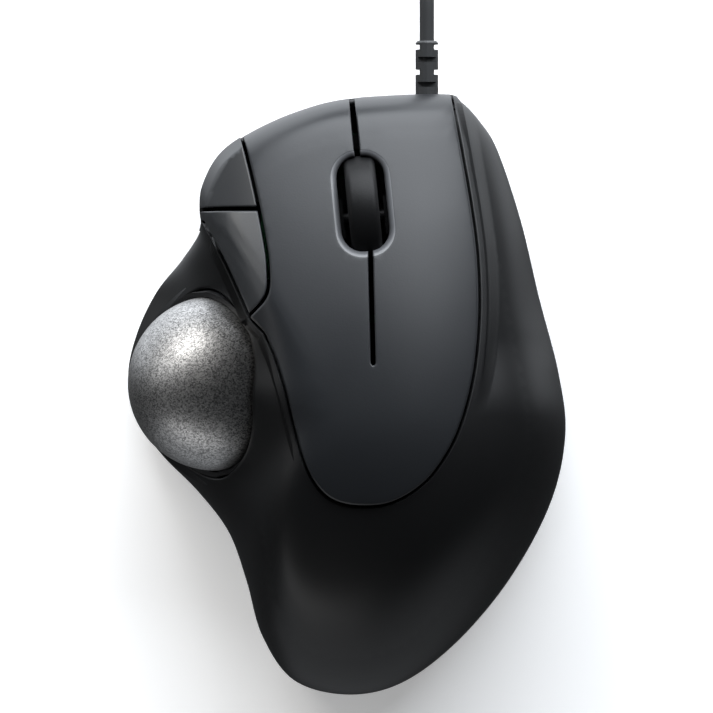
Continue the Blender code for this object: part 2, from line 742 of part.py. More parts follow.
def make_strain_relief():
    profile = [
        (0.0, -15.8),
        (3.6, -15.8),
        (3.6, -14.7),
        (BOOT_RADIUS, -14.7),
        (BOOT_RADIUS, -0.4),
        (BOOT_RADIUS - 0.4, 0.0),
        (0.0, 0.0),
    ]
    centre = (CORD_X, BOOT_END, CORD_Z)
    boot = object_from("strain_relief", turned_mesh(profile, centre, (0, 1, 0), 20), rubber(), True)
    for k, y in enumerate((72.2, 69.6, 67.0, 64.4)):
        for side in (-1, 1):
            reach = side * (1.3 + 2.0)
            spot = (CORD_X + reach, y, CORD_Z) if k % 2 == 0 else (CORD_X, y, CORD_Z + reach)
            size = (4.0, 1.1, 8.0) if k % 2 == 0 else (8.0, 1.1, 4.0)
            cut(boot, box_mesh(size, spot))
    return boot


def cord_route():
    """The middle line of the straight stretch: out of the boot, down to the table and along it to the coil."""
    points = []
    for y in np.linspace(BOOT_END + 0.3, 108.9, 18):
        drop = float(smoothstep(y, 81.0, 103.0))
        points.append((CORD_X, float(y), CORD_Z + (CORD_RADIUS + 0.1 - CORD_Z) * drop))
    return points


def make_cord():
    curve = bpy.data.curves.new("cord", "CURVE")
    curve.dimensions = "3D"
    curve.bevel_depth = CORD_RADIUS * MM
    curve.bevel_resolution = 2
    curve.use_fill_caps = True
    route = cord_route()
    line = curve.splines.new("POLY")
    line.points.add(len(route) - 1)
    for spot, (x, y, z) in zip(line.points, route):
        spot.co = (x * MM, y * MM, z * MM, 1.0)
    curve.materials.append(rubber())
    cord = bpy.data.objects.new("cord", curve)
    bpy.context.scene.collection.objects.link(cord)


def make_coil():
    corner = 2.5
    out, up = COIL_HALF, COIL_RISE
    section = []
    for cx, cz, first in ((1, -1, -90), (1, 1, 0), (-1, 1, 90), (-1, -1, 180)):
        for step in (0, 45, 90):
            a = math.radians(first + step)
            r = COIL_MID + cx * (out - corner) + corner * math.cos(a)
            section.append((r, cz * (up - corner) + corner * math.sin(a)))
    object_from("cord_coil", turned_mesh(section, (*COIL_CENTRE, COIL_Z), steps=40), rubber(), True)
    spot = (COIL_CENTRE[0] - COIL_MID, COIL_CENTRE[1], COIL_Z)
    band = object_from("coil_tie", box_mesh((2 * out + 2.6, 4.0, 2 * up + 1.8), spot), dark_plastic())
    cut(band, box_mesh((2 * out + 1.4, 9.0, 2 * up + 0.6), spot))


def make_plug():
    y = COIL_CENTRE[1] + PLUG_Y
    grip_mesh = box_mesh((28.0, 15.5, 8.0), (-40.5, y, PLUG_Z))
    bmesh.ops.bevel(
        grip_mesh, geom=grip_mesh.edges[:], offset=1.4, segments=2, profile=0.5, affect="EDGES", material=-1
    )
    grip = object_from("usb_grip", grip_mesh, rubber(), True)
    join(grip, rod_mesh((-10.0, y, PLUG_Z), (-28.0, y, PLUG_Z), 2.2, 16))
    ring = COIL_MID + COIL_HALF + 0.3
    cut(grip, rod_mesh((*COIL_CENTRE, -5.0), (*COIL_CENTRE, 20.0), ring, 40))
    shell = object_from("usb_shell", box_mesh((12.0, 12.0, 4.5), (-60.8, y, PLUG_Z)), steel())
    cut(shell, box_mesh((12.0, 11.2, 3.7), (-61.4, y, PLUG_Z)))
    object_from("usb_tongue", box_mesh((10.2, 10.6, 1.4), (-61.3, y, PLUG_Z - 0.85)), white_plastic())


def build():
    clear_scene()
    make_upper_case()
    make_base_plate()
    make_key("left_key", -1)
    make_key("right_key", 1)
    make_top_cover()
    make_side_button("forward_button", SIDE_GAP_Y + 0.45, 62.0, (-29.0, -22.9, 43.0, 19.0, 22.0))
    back_top = height_at(-24.0, 29.0) - 0.6
    make_side_button("back_button", 17.3, SIDE_GAP_Y - 0.45, (-25.2, -22.9, 29.0, 19.0, back_top))
    make_ball()
    make_cup()
    make_beads()
    make_sensor()
    make_screws()
    make_feet()
    make_wheel()
    make_carrier()
    make_key_board()
    make_switches()
    make_side_parts()
    make_strain_relief()
    make_cord()
    make_coil()
    make_plug()


build()
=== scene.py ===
# %% [markdown]
# # A thumb-ball mouse, piece by piece
# The solid model gives every piece its place. This lesson loads that model as a
# fixed frame and then makes each visible surface again with finer edges and real
# finishes. All lengths here are in millimetres until the last step of a piece.

import math

import bmesh
import bpy
import numpy as np
from mathutils import Matrix, Vector
from mathutils.geometry import delaunay_2d_cdt


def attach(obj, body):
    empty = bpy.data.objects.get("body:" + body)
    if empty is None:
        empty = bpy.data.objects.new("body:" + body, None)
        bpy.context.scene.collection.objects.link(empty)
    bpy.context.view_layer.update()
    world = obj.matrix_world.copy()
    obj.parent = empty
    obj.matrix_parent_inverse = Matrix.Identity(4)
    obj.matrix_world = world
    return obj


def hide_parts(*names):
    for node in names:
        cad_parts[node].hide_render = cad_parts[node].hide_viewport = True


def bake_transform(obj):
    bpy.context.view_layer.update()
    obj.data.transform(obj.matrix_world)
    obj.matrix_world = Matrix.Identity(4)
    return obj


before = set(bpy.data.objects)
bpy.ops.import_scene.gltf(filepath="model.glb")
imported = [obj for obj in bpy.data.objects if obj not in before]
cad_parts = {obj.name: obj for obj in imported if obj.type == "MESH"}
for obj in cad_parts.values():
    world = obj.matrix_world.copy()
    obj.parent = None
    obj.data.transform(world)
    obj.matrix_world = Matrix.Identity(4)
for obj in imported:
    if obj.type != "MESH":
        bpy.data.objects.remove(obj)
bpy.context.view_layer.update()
MM = 0.001

# %% [markdown]
# ## Camera
# The camera looks straight down from far away with a long lens, so the sides of
# the mouse do not lean. The view is a little wider than the mouse, and the nose
# points to the top of the frame.

# %% Camera
VIEW_WIDTH = 147.6
VIEW_CENTRE = (2.0, 8.0)
LENS = 400.0
SENSOR = 36.0
VIEW_LEVEL = 14.0

camera_data = bpy.data.cameras.new("camera")
camera_data.lens = LENS
camera_data.sensor_width = SENSOR
camera_data.clip_end = 20.0
camera = bpy.data.objects.new("camera", camera_data)
camera.location = (
    VIEW_CENTRE[0] * MM,
    VIEW_CENTRE[1] * MM,
    (VIEW_LEVEL + VIEW_WIDTH * LENS / SENSOR) * MM,
)
bpy.context.scene.collection.objects.link(camera)
bpy.context.scene.camera = camera
print("camera height in mm:", round(camera.location.z / MM))

# %% [markdown]
# ## Helpers
# A mesh is shaped in millimetres, then scaled to metres and linked. A material
# helper sets the constants on the shader's own sockets. A smooth curve through a
# few points serves for outlines and for the cord.

# %% Helpers for meshes and materials
def link_mesh(name, made, smooth_angle=35.0):
    """An object in metres from a bmesh in millimetres, shaded smooth up to an angle."""
    bmesh.ops.scale(made, vec=(MM, MM, MM), verts=made.verts)
    mesh = bpy.data.meshes.new(name)
    made.to_mesh(mesh)
    made.free()
    for face in mesh.polygons:
        face.use_smooth = True
    mesh.set_sharp_from_angle(angle=math.radians(smooth_angle))
    obj = bpy.data.objects.new(name, mesh)
    bpy.context.scene.collection.objects.link(obj)
    return obj


def new_material(name, colour, roughness, metallic=0.0, specular=0.5):
    made = bpy.data.materials.new(name)
    made.use_nodes = True
    shader = made.node_tree.nodes["Principled BSDF"]
    shader.inputs["Base Color"].default_value = (*colour, 1.0)
    shader.inputs["Roughness"].default_value = roughness
    shader.inputs["Metallic"].default_value = metallic
    shader.inputs["Specular IOR Level"].default_value = specular
    return made, made.node_tree, shader


def add_node(tree, kind, **values):
    """A shader node with its named inputs and settings filled in."""
    node = tree.nodes.new(kind)
    for key, value in values.items():
        if key in node.inputs:
            node.inputs[key].default_value = value
        else:
            setattr(node, key, value)
    return node


def catmull(points, steps, closed=False):
    """A smooth curve through the points, as rows of numbers."""
    rows = np.array(points, float)
    count = len(rows)
    if closed:
        ends = rows[np.arange(-1, count + 2) % count]
    else:
        ends = np.vstack([2 * rows[0] - rows[1], rows, 2 * rows[-1] - rows[-2]])
    out = []
    for i in range(len(ends) - 3):
        a, b, c, d = ends[i : i + 4]
        bend = 2 * a - 5 * b + 4 * c - d
        twist = 3 * b - a - 3 * c + d
        for t in np.arange(steps) / steps:
            out.append(0.5 * (2 * b + (c - a) * t + bend * t**2 + twist * t**3))
    if not closed:
        out.append(rows[-1])
    return np.array(out)


def smoothstep(x, start, end):
    t = np.clip((x - start) / (end - start), 0.0, 1.0)
    return t * t * (3 - 2 * t)


# %% [markdown]
# ## Fine moulded texture
# Moulded plastic is never quite even. A fine noise in object coordinates makes a
# faint grain in the bump, and a broad noise moves the roughness a little, as
# handling does. One helper adds both to any plastic or rubber.

# %% Moulded grain
GRAIN_SCALE = 2600.0
HANDLING_SCALE = 45.0


def vary_roughness(tree, shader, pattern, roughness, spread):
    """Lets a pattern move the roughness to either side of its value."""
    span = tree.nodes.new("ShaderNodeMapRange")
    span.inputs["To Min"].default_value = roughness - spread
    span.inputs["To Max"].default_value = roughness + spread
    tree.links.new(pattern.outputs["Fac"], span.inputs["Value"])
    tree.links.new(span.outputs["Result"], shader.inputs["Roughness"])


def moulded(name, colour, roughness, grain=0.00004, spread=0.06, specular=0.5):
    made, tree, shader = new_material(name, colour, roughness, specular=specular)
    place = tree.nodes.new("ShaderNodeTexCoord")
    fine = add_node(tree, "ShaderNodeTexNoise", Scale=GRAIN_SCALE, Detail=2.0)
    broad = add_node(tree, "ShaderNodeTexNoise", Scale=HANDLING_SCALE, Detail=3.0)
    tree.links.new(place.outputs["Object"], fine.inputs["Vector"])
    tree.links.new(place.outputs["Object"], broad.inputs["Vector"])
    bump = add_node(tree, "ShaderNodeBump", Strength=1.0, Distance=grain)
    tree.links.new(fine.outputs["Fac"], bump.inputs["Height"])
    tree.links.new(bump.outputs["Normal"], shader.inputs["Normal"])
    vary_roughness(tree, shader, broad, roughness, spread)
    return made


# %% [markdown]
# ## The shape of the shell
# The shell is one flowing surface: a palm hump that falls to the nose and the tail,
# rolls over at the rim, and leans away on the left where the thumb ball sits. A
# shape like this could be sculpted or lofted by eye, but a height for every point
# of the ground plan keeps the keys, the buttons and the case exactly flush. Each
# station on the outline says how high the rim is, how wide the roll-over is, and
# how much of it is a flat leaning face.

# %% Shell surface
# x, y, height of the rim, width of the roll-over, share of flat thumb face
STATIONS = (
    (20.0, 62.3, 15.0, 6.0, 0.0),
    (0.8, 61.4, 15.0, 6.0, 0.0),
    (-10.5, 58.6, 15.5, 6.0, 0.0),
    (-20.5, 54.0, 16.5, 6.5, 0.0),
    (-26.6, 49.5, 17.5, 8.0, 0.0),
    (-30.0, 43.2, 18.0, 9.0, 0.0),
    (-30.5, 38.5, 17.5, 11.0, 0.0),
    (-30.4, 34.0, 15.0, 15.0, 0.3),
    (-34.2, 28.1, 11.0, 22.0, 0.7),
    (-39.5, 21.5, 9.0, 26.0, 1.0),
    (-43.6, 13.0, 8.0, 28.5, 1.0),
    (-45.5, 4.0, 8.0, 28.5, 1.0),
    (-43.6, -5.0, 8.0, 28.5, 1.0),
    (-38.4, -12.5, 8.5, 26.0, 0.9),
    (-31.0, -20.0, 9.0, 23.0, 0.6),
    (-24.6, -28.4, 9.0, 19.0, 0.2),
    (-20.9, -38.4, 9.0, 17.0, 0.0),
    (-17.6, -50.0, 8.5, 18.0, 0.0),
    (-11.0, -59.3, 8.0, 22.0, 0.0),
    (0.2, -62.3, 8.0, 24.0, 0.0),
    (11.5, -59.8, 8.0, 24.0, 0.0),
    (23.0, -51.2, 8.0, 22.0, 0.0),
    (34.0, -38.0, 8.0, 18.0, 0.0),
    (42.3, -22.5, 8.5, 14.0, 0.0),
    (45.4, -8.3, 9.0, 11.0, 0.0),
    (44.0, 4.5, 9.5, 10.0, 0.0),
    (40.0, 20.0, 10.0, 10.0, 0.0),
    (36.0, 36.5, 11.5, 9.0, 0.0),
    (31.2, 50.8, 13.0, 9.0, 0.0),
    (27.5, 56.8, 13.5, 8.0, 0.0),
    (23.6, 60.8, 14.5, 6.5, 0.0),
)
HUB = (2.0, -2.0)
OUTLINE_SHY = 0.06
ROUNDNESS = 2.3
FACE_BLEND = 0.35
CROWN = 49.2
CROWN_Y = -8.0
CROWN_X = 3.0
# drop of the crown, the distance over which it drops, and the power of the curve
NOSE_FALL = (22.0, 70.0, 1.6)
TAIL_FALL = (26.0, 54.0, 2.0)
WING_FALL = (20.0, 43.0, 1.9)
THUMB_FALL = (11.0, 45.0, 2.0)
WING_DROP = 2.4
WING_STEP_FROM, WING_STEP_TO = 1.4, 4.4
WING_FADE_FROM, WING_FADE_TO = -4.0, 12.0
SMOOTHING_RINGS = ((2.2, 0.0), (4.2, 0.5))
SMOOTHING_INSET = 8.0
SEAM_Z = 3.2
TUCK = 1.5
PLATE_RAISE = 0.9
PLATE_RIGHT = (
    (21.6, 62.0), (23.6, 50.4), (25.6, 38.2), (26.8, 27.8), (27.0, 15.9),
    (25.7, 3.7), (22.6, -7.2), (18.2, -14.9), (13.9, -19.1), (8.7, -21.8),
)
PLATE_LEFT = (
    (3.4, -22.4), (-1.2, -21.8), (-4.5, -20.0), (-7.1, -16.7), (-9.1, -12.1),
    (-10.8, -5.8), (-12.4, 0.8), (-14.4, 7.1), (-16.7, 12.7),
)
PLATE_SHOULDER = (
    (-16.2, 20.5), (-15.9, 26.4), (-16.6, 31.8), (-18.0, 39.0), (-19.6, 46.0), (-21.6, 53.6),
)
BUTTON_TIP = (-20.0, 16.0)

print("stations on the outline:", len(STATIONS))

# %% [markdown]
# ## The outline as radius against angle
# The stations are joined by a smooth closed curve, and the curve is sorted by its angle
# round a hub in the middle. Any direction then has one radius, one rim height and one
# roll-over width, which is all that the height over the plan needs.

# %% Outline of the shell
station_curve = catmull(STATIONS, 24, True)
station_angle = np.arctan2(station_curve[:, 1] - HUB[1], station_curve[:, 0] - HUB[0])
station_order = np.argsort(station_angle)
OUTLINE_ANGLE = station_angle[station_order]
station_reach = np.hypot(station_curve[:, 0] - HUB[0], station_curve[:, 1] - HUB[1])
OUTLINE_RADIUS = station_reach[station_order] - OUTLINE_SHY
OUTLINE_REST = station_curve[station_order, 2:]


def outline_at(angle):
    """Radius, rim height, roll width and flat share at an angle."""
    wrapped = (np.asarray(angle) + math.pi) % (2 * math.pi) - math.pi
    values = [np.interp(wrapped, OUTLINE_ANGLE, OUTLINE_RADIUS, period=2 * math.pi)]
    for k in range(3):
        values.append(np.interp(wrapped, OUTLINE_ANGLE, OUTLINE_REST[:, k], period=2 * math.pi))
    return values


edge_right = catmull(PLATE_RIGHT, 6)
print("radius to the right:", round(float(outline_at(0.0)[0]), 1), "mm")

# %% [markdown]
# ## Height over the ground plan
# The palm hump falls away to all four sides. Near the rim the roll-over takes over, as
# part of a super-ellipse or, on the thumb side, as a flat leaning face. The height is
# averaged over a few points round each point, so that no fold stays between stations.

# %% Height of the shell
def wing_step(x, y):
    """The right wing lies a step below the plate, and the step fades out towards the tail."""
    edge = np.interp(y, edge_right[::-1, 1], edge_right[::-1, 0])
    down = smoothstep(x - edge, WING_STEP_FROM, WING_STEP_TO)
    return WING_DROP * down * smoothstep(y, WING_FADE_FROM, WING_FADE_TO)


def crown_height(x, y):
    """The palm hump, which falls away from its top on each of its four sides."""
    height = CROWN
    for away, fall in (
        (y - CROWN_Y, NOSE_FALL),
        (CROWN_Y - y, TAIL_FALL),
        (x - CROWN_X, WING_FALL),
        (CROWN_X - x, THUMB_FALL),
    ):
        drop, reach, power = fall
        height = height - drop * (np.maximum(away, 0.0) / reach) ** power
    return height


def raw_height(x, y):
    """Height over the ground plan straight from the stations, and how far up the roll-over it is."""
    dx = np.asarray(x, float) - HUB[0]
    dy = np.asarray(y, float) - HUB[1]
    radius, rim, width, flat = outline_at(np.arctan2(dy, dx))
    t = np.maximum(radius - np.hypot(dx, dy) - 1e-3, 0.0) / width
    rounded = (1.0 - (1.0 - np.minimum(t, 1.0)) ** ROUNDNESS) ** (1.0 / ROUNDNESS)
    bend = 1.0 - (1.0 + FACE_BLEND - t) ** 2 / (4 * FACE_BLEND)
    faced = np.where(t < 1.0 - FACE_BLEND, t, np.where(t < 1.0 + FACE_BLEND, bend, 1.0))
    share = flat * faced + (1.0 - flat) * rounded
    return rim + (crown_height(x, y) - rim) * share, share


def rim_inset(x, y):
    """How far inside the outline a point lies, measured towards the hub."""
    dx, dy = np.asarray(x, float) - HUB[0], np.asarray(y, float) - HUB[1]
    return outline_at(np.arctan2(dy, dx))[0] - np.hypot(dx, dy)


# a point and twelve round it, in two rings, to average the height over
NEAR_BY = [(0.0, 0.0)] + [
    (reach * math.cos(turn), reach * math.sin(turn))
    for reach, first in SMOOTHING_RINGS
    for turn in (np.arange(6) + first) * math.pi / 3
]


def shell_height(x, y):
    """Height of the outside of the shell, with its folds smoothed out by averaging."""
    x, y = np.asarray(x, float), np.asarray(y, float)
    reach = np.clip(rim_inset(x, y) / SMOOTHING_INSET, 0.0, 1.0)
    even_height = sum(raw_height(x + a * reach, y + b * reach)[0] for a, b in NEAR_BY) / len(NEAR_BY)
    return even_height - wing_step(x, y) * raw_height(x, y)[1]


print("palm hump at", round(float(shell_height(0.0, -8.0)), 1), "mm")

# %% [markdown]
# ## Panels with rounded edges
# Every moulded panel ends in a small rounded edge, and that edge is what catches
# the light along a seam. A panel is made in the ground plan: its seam lines, a few
# lines just inside them, and an even scatter of points are joined into triangles,
# and each point is then lifted to the shell's height, less a quarter-round next to
# a seam. Cutting a finished mesh with Booleans would also work, but it leaves long
# thin faces exactly where the highlight runs.

# %% Panel tools
EDGE_LINES = (0.0, 0.1, 0.28, 0.55, 0.8, 1.0)
RIM_LINES = (0.0, 0.03, 0.09, 0.2, 0.42, 0.8, 1.4, 2.2)
RIM_COUNT = 360


def even(loop, step, closed=True):
    """The same line with points an even distance apart."""
    rows = np.array(loop, float)[:, :2]
    if closed:
        rows = np.vstack([rows, rows[:1]])
    run = np.concatenate([[0.0], np.cumsum(np.linalg.norm(np.diff(rows, axis=0), axis=1))])
    count = max(int(run[-1] / step), 4)
    at = np.linspace(0.0, run[-1], count + 1)
    if closed:
        at = at[:-1]
    return np.stack([np.interp(at, run, rows[:, 0]), np.interp(at, run, rows[:, 1])], axis=1)


def anticlockwise(loop):
    rows = np.array(loop, float)
    after = np.roll(rows, -1, axis=0)
    area = np.sum(rows[:, 0] * after[:, 1] - after[:, 0] * rows[:, 1])
    return rows if area > 0 else rows[::-1]


def moved(loop, amount):
    """The line moved to its left, which is inwards for an anticlockwise loop."""
    tangent = np.roll(loop, -1, axis=0) - np.roll(loop, 1, axis=0)
    tangent = tangent / np.maximum(np.linalg.norm(tangent, axis=1), 1e-9)[:, None]
    return loop + np.stack([-tangent[:, 1], tangent[:, 0]], axis=1) * amount


def inside(points, loop):
    """Which points lie inside the loop."""
    x, y = points[:, 0:1], points[:, 1:2]
    ax, ay = loop[:, 0], loop[:, 1]
    bx, by = np.roll(ax, -1), np.roll(ay, -1)
    crosses = (ay > y) != (by > y)
    reach = ax + (y - ay) * (bx - ax) / np.where(by == ay, 1e-12, by - ay)
    return np.sum(crosses & (x < reach), axis=1) % 2 == 1


def distance(points, loop):
    """How far each point lies from the loop."""
    best = np.full(len(points), 1e9)
    after = np.roll(loop, -1, axis=0)
    for start in range(0, len(points), 4000):
        part = points[start : start + 4000]
        span = after - loop
        rel = part[:, None, :] - loop[None, :, :]
        share = np.clip(np.sum(rel * span, axis=2) / np.maximum(np.sum(span * span, axis=1), 1e-12), 0.0, 1.0)
        gap = rel - share[:, :, None] * span[None, :, :]
        best[start : start + 4000] = np.sqrt(np.min(np.sum(gap * gap, axis=2), axis=1))
    return best


def rim_loop(inset=0.0):
    """The outline of the whole mouse, anticlockwise."""
    angles = np.linspace(0.0, 2 * math.pi, RIM_COUNT, endpoint=False)
    reach = outline_at(angles)[0] - inset
    return np.stack([HUB[0] + reach * np.cos(angles), HUB[1] + reach * np.sin(angles)], axis=1)


print("points on the outline:", len(rim_loop()))

# %% [markdown]
# ## A panel from its seams
# The lines and the scattered points go into one Delaunay triangulation, which keeps
# every line as an edge. Faces outside the panel are dropped, and what is left is lifted
# to its height. Points on a rounded edge are marked, for the shading later.

# %% Panel maker
def sheet(keep, seams, spacing, cuts=(), height=shell_height):
    """An open panel as a bmesh. keep(points) says which ground it covers. Each seam is a
    closed line with the radius of its rounded edge, anticlockwise where the panel lies inside
    it and clockwise where it lies outside. A cut is an open line with no rounding."""
    points, lines = [], []

    def add(loop, closed=True):
        first = len(points)
        points.extend(map(tuple, loop))
        count = len(loop)
        lines.extend((first + k, first + (k + 1) % count) for k in range(count if closed else count - 1))

    for seam, edge in seams:
        for inset in EDGE_LINES:
            add(moved(seam, inset * edge))
    border = rim_loop()
    for inset in RIM_LINES:
        add(rim_loop(inset))
    for line in cuts:
        add(even(line, spacing, False), False)
    low, high = np.min(border, axis=0), np.max(border, axis=0)
    rows = []
    for k, y in enumerate(np.arange(low[1], high[1], spacing * 0.866)):
        x = np.arange(low[0] + (k % 2) * spacing / 2, high[0], spacing)
        rows.append(np.stack([x, np.full_like(x, y)], axis=1))
    scatter = np.vstack(rows)
    scatter = scatter[keep(scatter)]
    clear = distance(scatter, border) > RIM_LINES[-1] + spacing * 0.4
    for seam, edge in seams:
        clear &= distance(scatter, seam) > edge + spacing * 0.4
    points.extend(map(tuple, scatter[clear]))
    found = delaunay_2d_cdt([Vector(p) for p in points], lines, [], 0, 1e-5)
    flat = np.array([(v.x, v.y) for v in found[0]])
    faces = np.array([f for f in found[2] if len(f) == 3])
    middle = flat[faces].mean(axis=1)
    faces = faces[keep(middle) & inside(middle, border)]
    z = height(flat[:, 0], flat[:, 1])
    soft = np.zeros(len(flat), bool)
    for seam, edge in seams:
        short = np.maximum(edge - distance(flat, seam), 0.0)
        z = z - (edge - np.sqrt(np.maximum(edge**2 - short**2, 0.0)))
        soft |= short > 0
    made = bmesh.new()
    mark = made.verts.layers.int.new("rounded edge")
    used = {}
    for face in faces:
        for index in face:
            if index not in used:
                used[index] = made.verts.new((flat[index, 0], flat[index, 1], z[index]))
                used[index][mark] = int(soft[index])
        made.faces.new([used[index] for index in face])
    bmesh.ops.recalc_face_normals(made, faces=made.faces)
    if sum(face.normal.z for face in made.faces) < 0:
        bmesh.ops.reverse_faces(made, faces=made.faces)
    return made


# %% [markdown]
# ## Shading and thickness
# Triangles of uneven size show faint facets in a glossy surface. The slope of the height
# itself gives a smooth normal for every point that isn't on a rounded edge, and these
# custom normals hide the triangles. Thickness comes from a copy of the face straight
# below.

# %% Shading and thickness of a panel
def shade_by_shape(obj, height):
    """Shades the upper faces by the slope of the height, so that two panels meet with no line."""
    mesh = obj.data
    count = len(mesh.vertices)
    co = np.empty(count * 3)
    mesh.vertices.foreach_get("co", co)
    co = co.reshape(-1, 3) / MM
    soft = np.zeros(count, np.int32)
    mesh.attributes["rounded edge"].data.foreach_get("value", soft)
    step = 0.02
    across = (height(co[:, 0] + step, co[:, 1]) - height(co[:, 0] - step, co[:, 1])) / (2 * step)
    along = (height(co[:, 0], co[:, 1] + step) - height(co[:, 0], co[:, 1] - step)) / (2 * step)
    slope = np.stack([-across, -along, np.ones(count)], axis=1)
    slope /= np.linalg.norm(slope, axis=1)[:, None]
    loops = len(mesh.loops)
    normals = np.empty(loops * 3)
    mesh.corner_normals.foreach_get("vector", normals)
    normals = normals.reshape(-1, 3)
    of_vert = np.empty(loops, np.int32)
    mesh.loops.foreach_get("vertex_index", of_vert)
    inset = rim_inset(co[:, 0], co[:, 1])
    agrees = np.sum(normals * slope[of_vert], axis=1) > 0.9
    use = agrees & (soft[of_vert] == 0) & (inset[of_vert] > 1.0)
    normals[use] = slope[of_vert][use]
    mesh.normals_split_custom_set(normals.tolist())


def thickened(made, depth):
    """A closed panel from an open one: a copy of its whole face lies straight below it."""
    low = bmesh.ops.extrude_face_region(made, geom=made.faces[:], use_keep_orig=True)
    verts = [v for v in low["geom"] if isinstance(v, bmesh.types.BMVert)]
    bmesh.ops.translate(made, verts=verts, vec=(0, 0, -depth))
    bmesh.ops.recalc_face_normals(made, faces=made.faces)
    return made


print("rings along a rounded edge:", len(EDGE_LINES))

# %% [markdown]
# ## Seam lines
# The key plate covers the top of the shell and runs off over the nose. The wheel
# looks out through a slot that leans a little, with a bevelled rim. A notch in
# front of the slot and a slit behind it let the left and right key bend apart.

# %% Seam lines
GAP = 0.4
NOTCH_WIDTH = 1.15
SLIT_WIDTH = 0.95
NOTCH = ((0.5, 66.0), (2.3, 48.0))
SLIT = ((4.8, 31.0), (5.4, 6.6))
SLOT_LEAN = math.radians(5.6)
SLOT_CENTRE = (3.3, 39.2)
SLOT_SIZE = (9.8, 19.6)
SLOT_CORNER = 4.3
SIDE_GAP_Y = 38.2
BALL_CENTRE = (-27.1, 2.5, 22.4)
BALL_RADIUS = 18.0
SOCKET_RADIUS = 19.7


def plate_loop(inset):
    edge = np.vstack([
        catmull(PLATE_RIGHT + PLATE_LEFT, 8),
        catmull((BUTTON_TIP,) + PLATE_SHOULDER, 8),
        [(-23.5, 62.0), (-22.5, 72.0), (21.0, 72.0)],
    ])
    return moved(anticlockwise(even(edge, 0.8)), inset)


def side_loop(inset):
    edge = np.vstack([
        catmull((BUTTON_TIP,) + PLATE_SHOULDER, 8),
        [(-24.5, 60.0), (-34.0, 54.0), (-36.0, 38.0)],
        catmull(((-29.6, 35.6), (-24.8, 26.6), BUTTON_TIP), 6)[:-1],
    ])
    return moved(anticlockwise(even(edge, 0.7)), inset)


def bar_loop(start, end, width):
    """A narrow bar with round ends."""
    a, b = Vector(start), Vector(end)
    along = (b - a).normalized()
    across = Vector((-along.y, along.x)) * (width / 2)
    turns = np.linspace(0.0, math.pi, 7)
    first = [a + across * math.cos(t) - along * (width / 2) * math.sin(t) for t in turns]
    last = [b - across * math.cos(t) + along * (width / 2) * math.sin(t) for t in turns]
    return anticlockwise(even([tuple(p) for p in first + last], 0.6))


def slot_loop():
    """The wheel's slot: a leaning oblong with round ends."""
    corner = SLOT_CORNER
    half_x, half_y = SLOT_SIZE[0] / 2, SLOT_SIZE[1] / 2
    turn = Matrix.Rotation(SLOT_LEAN, 2)
    points = []
    for sx, sy, first in ((1, 1, 0), (-1, 1, 90), (-1, -1, 180), (1, -1, 270)):
        for angle in np.radians(np.arange(0, 91, 15) + first):
            spot = Vector((
                sx * (half_x - corner) + corner * math.cos(angle),
                sy * (half_y - corner) + corner * math.sin(angle),
            ))
            points.append(tuple(turn @ spot + Vector(SLOT_CENTRE)))
    return anticlockwise(even(points, 0.6))


def socket_loop(radius):
    """Where a ball-shaped socket comes out through the leaning face."""
    points = []
    reach = np.linspace(6.0, 24.0, 361)
    for angle in np.linspace(0.0, 2 * math.pi, 120, endpoint=False):
        x = BALL_CENTRE[0] + reach * math.cos(angle)
        y = BALL_CENTRE[1] + reach * math.sin(angle)
        gap = np.sqrt(reach**2 + (shell_height(x, y) - BALL_CENTRE[2]) ** 2) - radius
        last = np.nonzero(gap < 0)[0][-1]
        points.append((x[last], y[last]))
    return anticlockwise(even(points, 0.6))


notch_loop = bar_loop(*NOTCH, NOTCH_WIDTH)
slit_loop = bar_loop(*SLIT, SLIT_WIDTH)
socket = socket_loop(SOCKET_RADIUS)
print("socket opening:", socket.min(axis=0).round(1), socket.max(axis=0).round(1))

# %% [markdown]
# ## The black case
# The case is the palm rest, the thumb face with its round socket, and the wing on
# the right. It is a panel with three openings, its border drawn down into a side
# wall that tucks in under the hand, and then given a wall thickness.

# %% Black case
satin_black = moulded("satin black case", (0.0045, 0.0046, 0.005), 0.42, grain=0.00001, specular=0.3)
BUTTON_GAP = 0.15
CASE_WALL = 1.8
KEY_SHELF_Z = 15.4
BUTTON_SHELF_Z = 16.6
BUTTON_SHELF_Y = 34.0
WALL_SHARES = (0.15, 0.4, 0.7, 1.0)
STEP_LINES = (1.4, 2.0, 2.6, 3.2, 3.8, 4.4)
PANEL_SPACING = 1.1


def case_ground(points):
    good = ~inside(points, plate_loop(-GAP / 2)) & ~inside(points, side_loop(-BUTTON_GAP))
    return good & ~inside(points, socket)


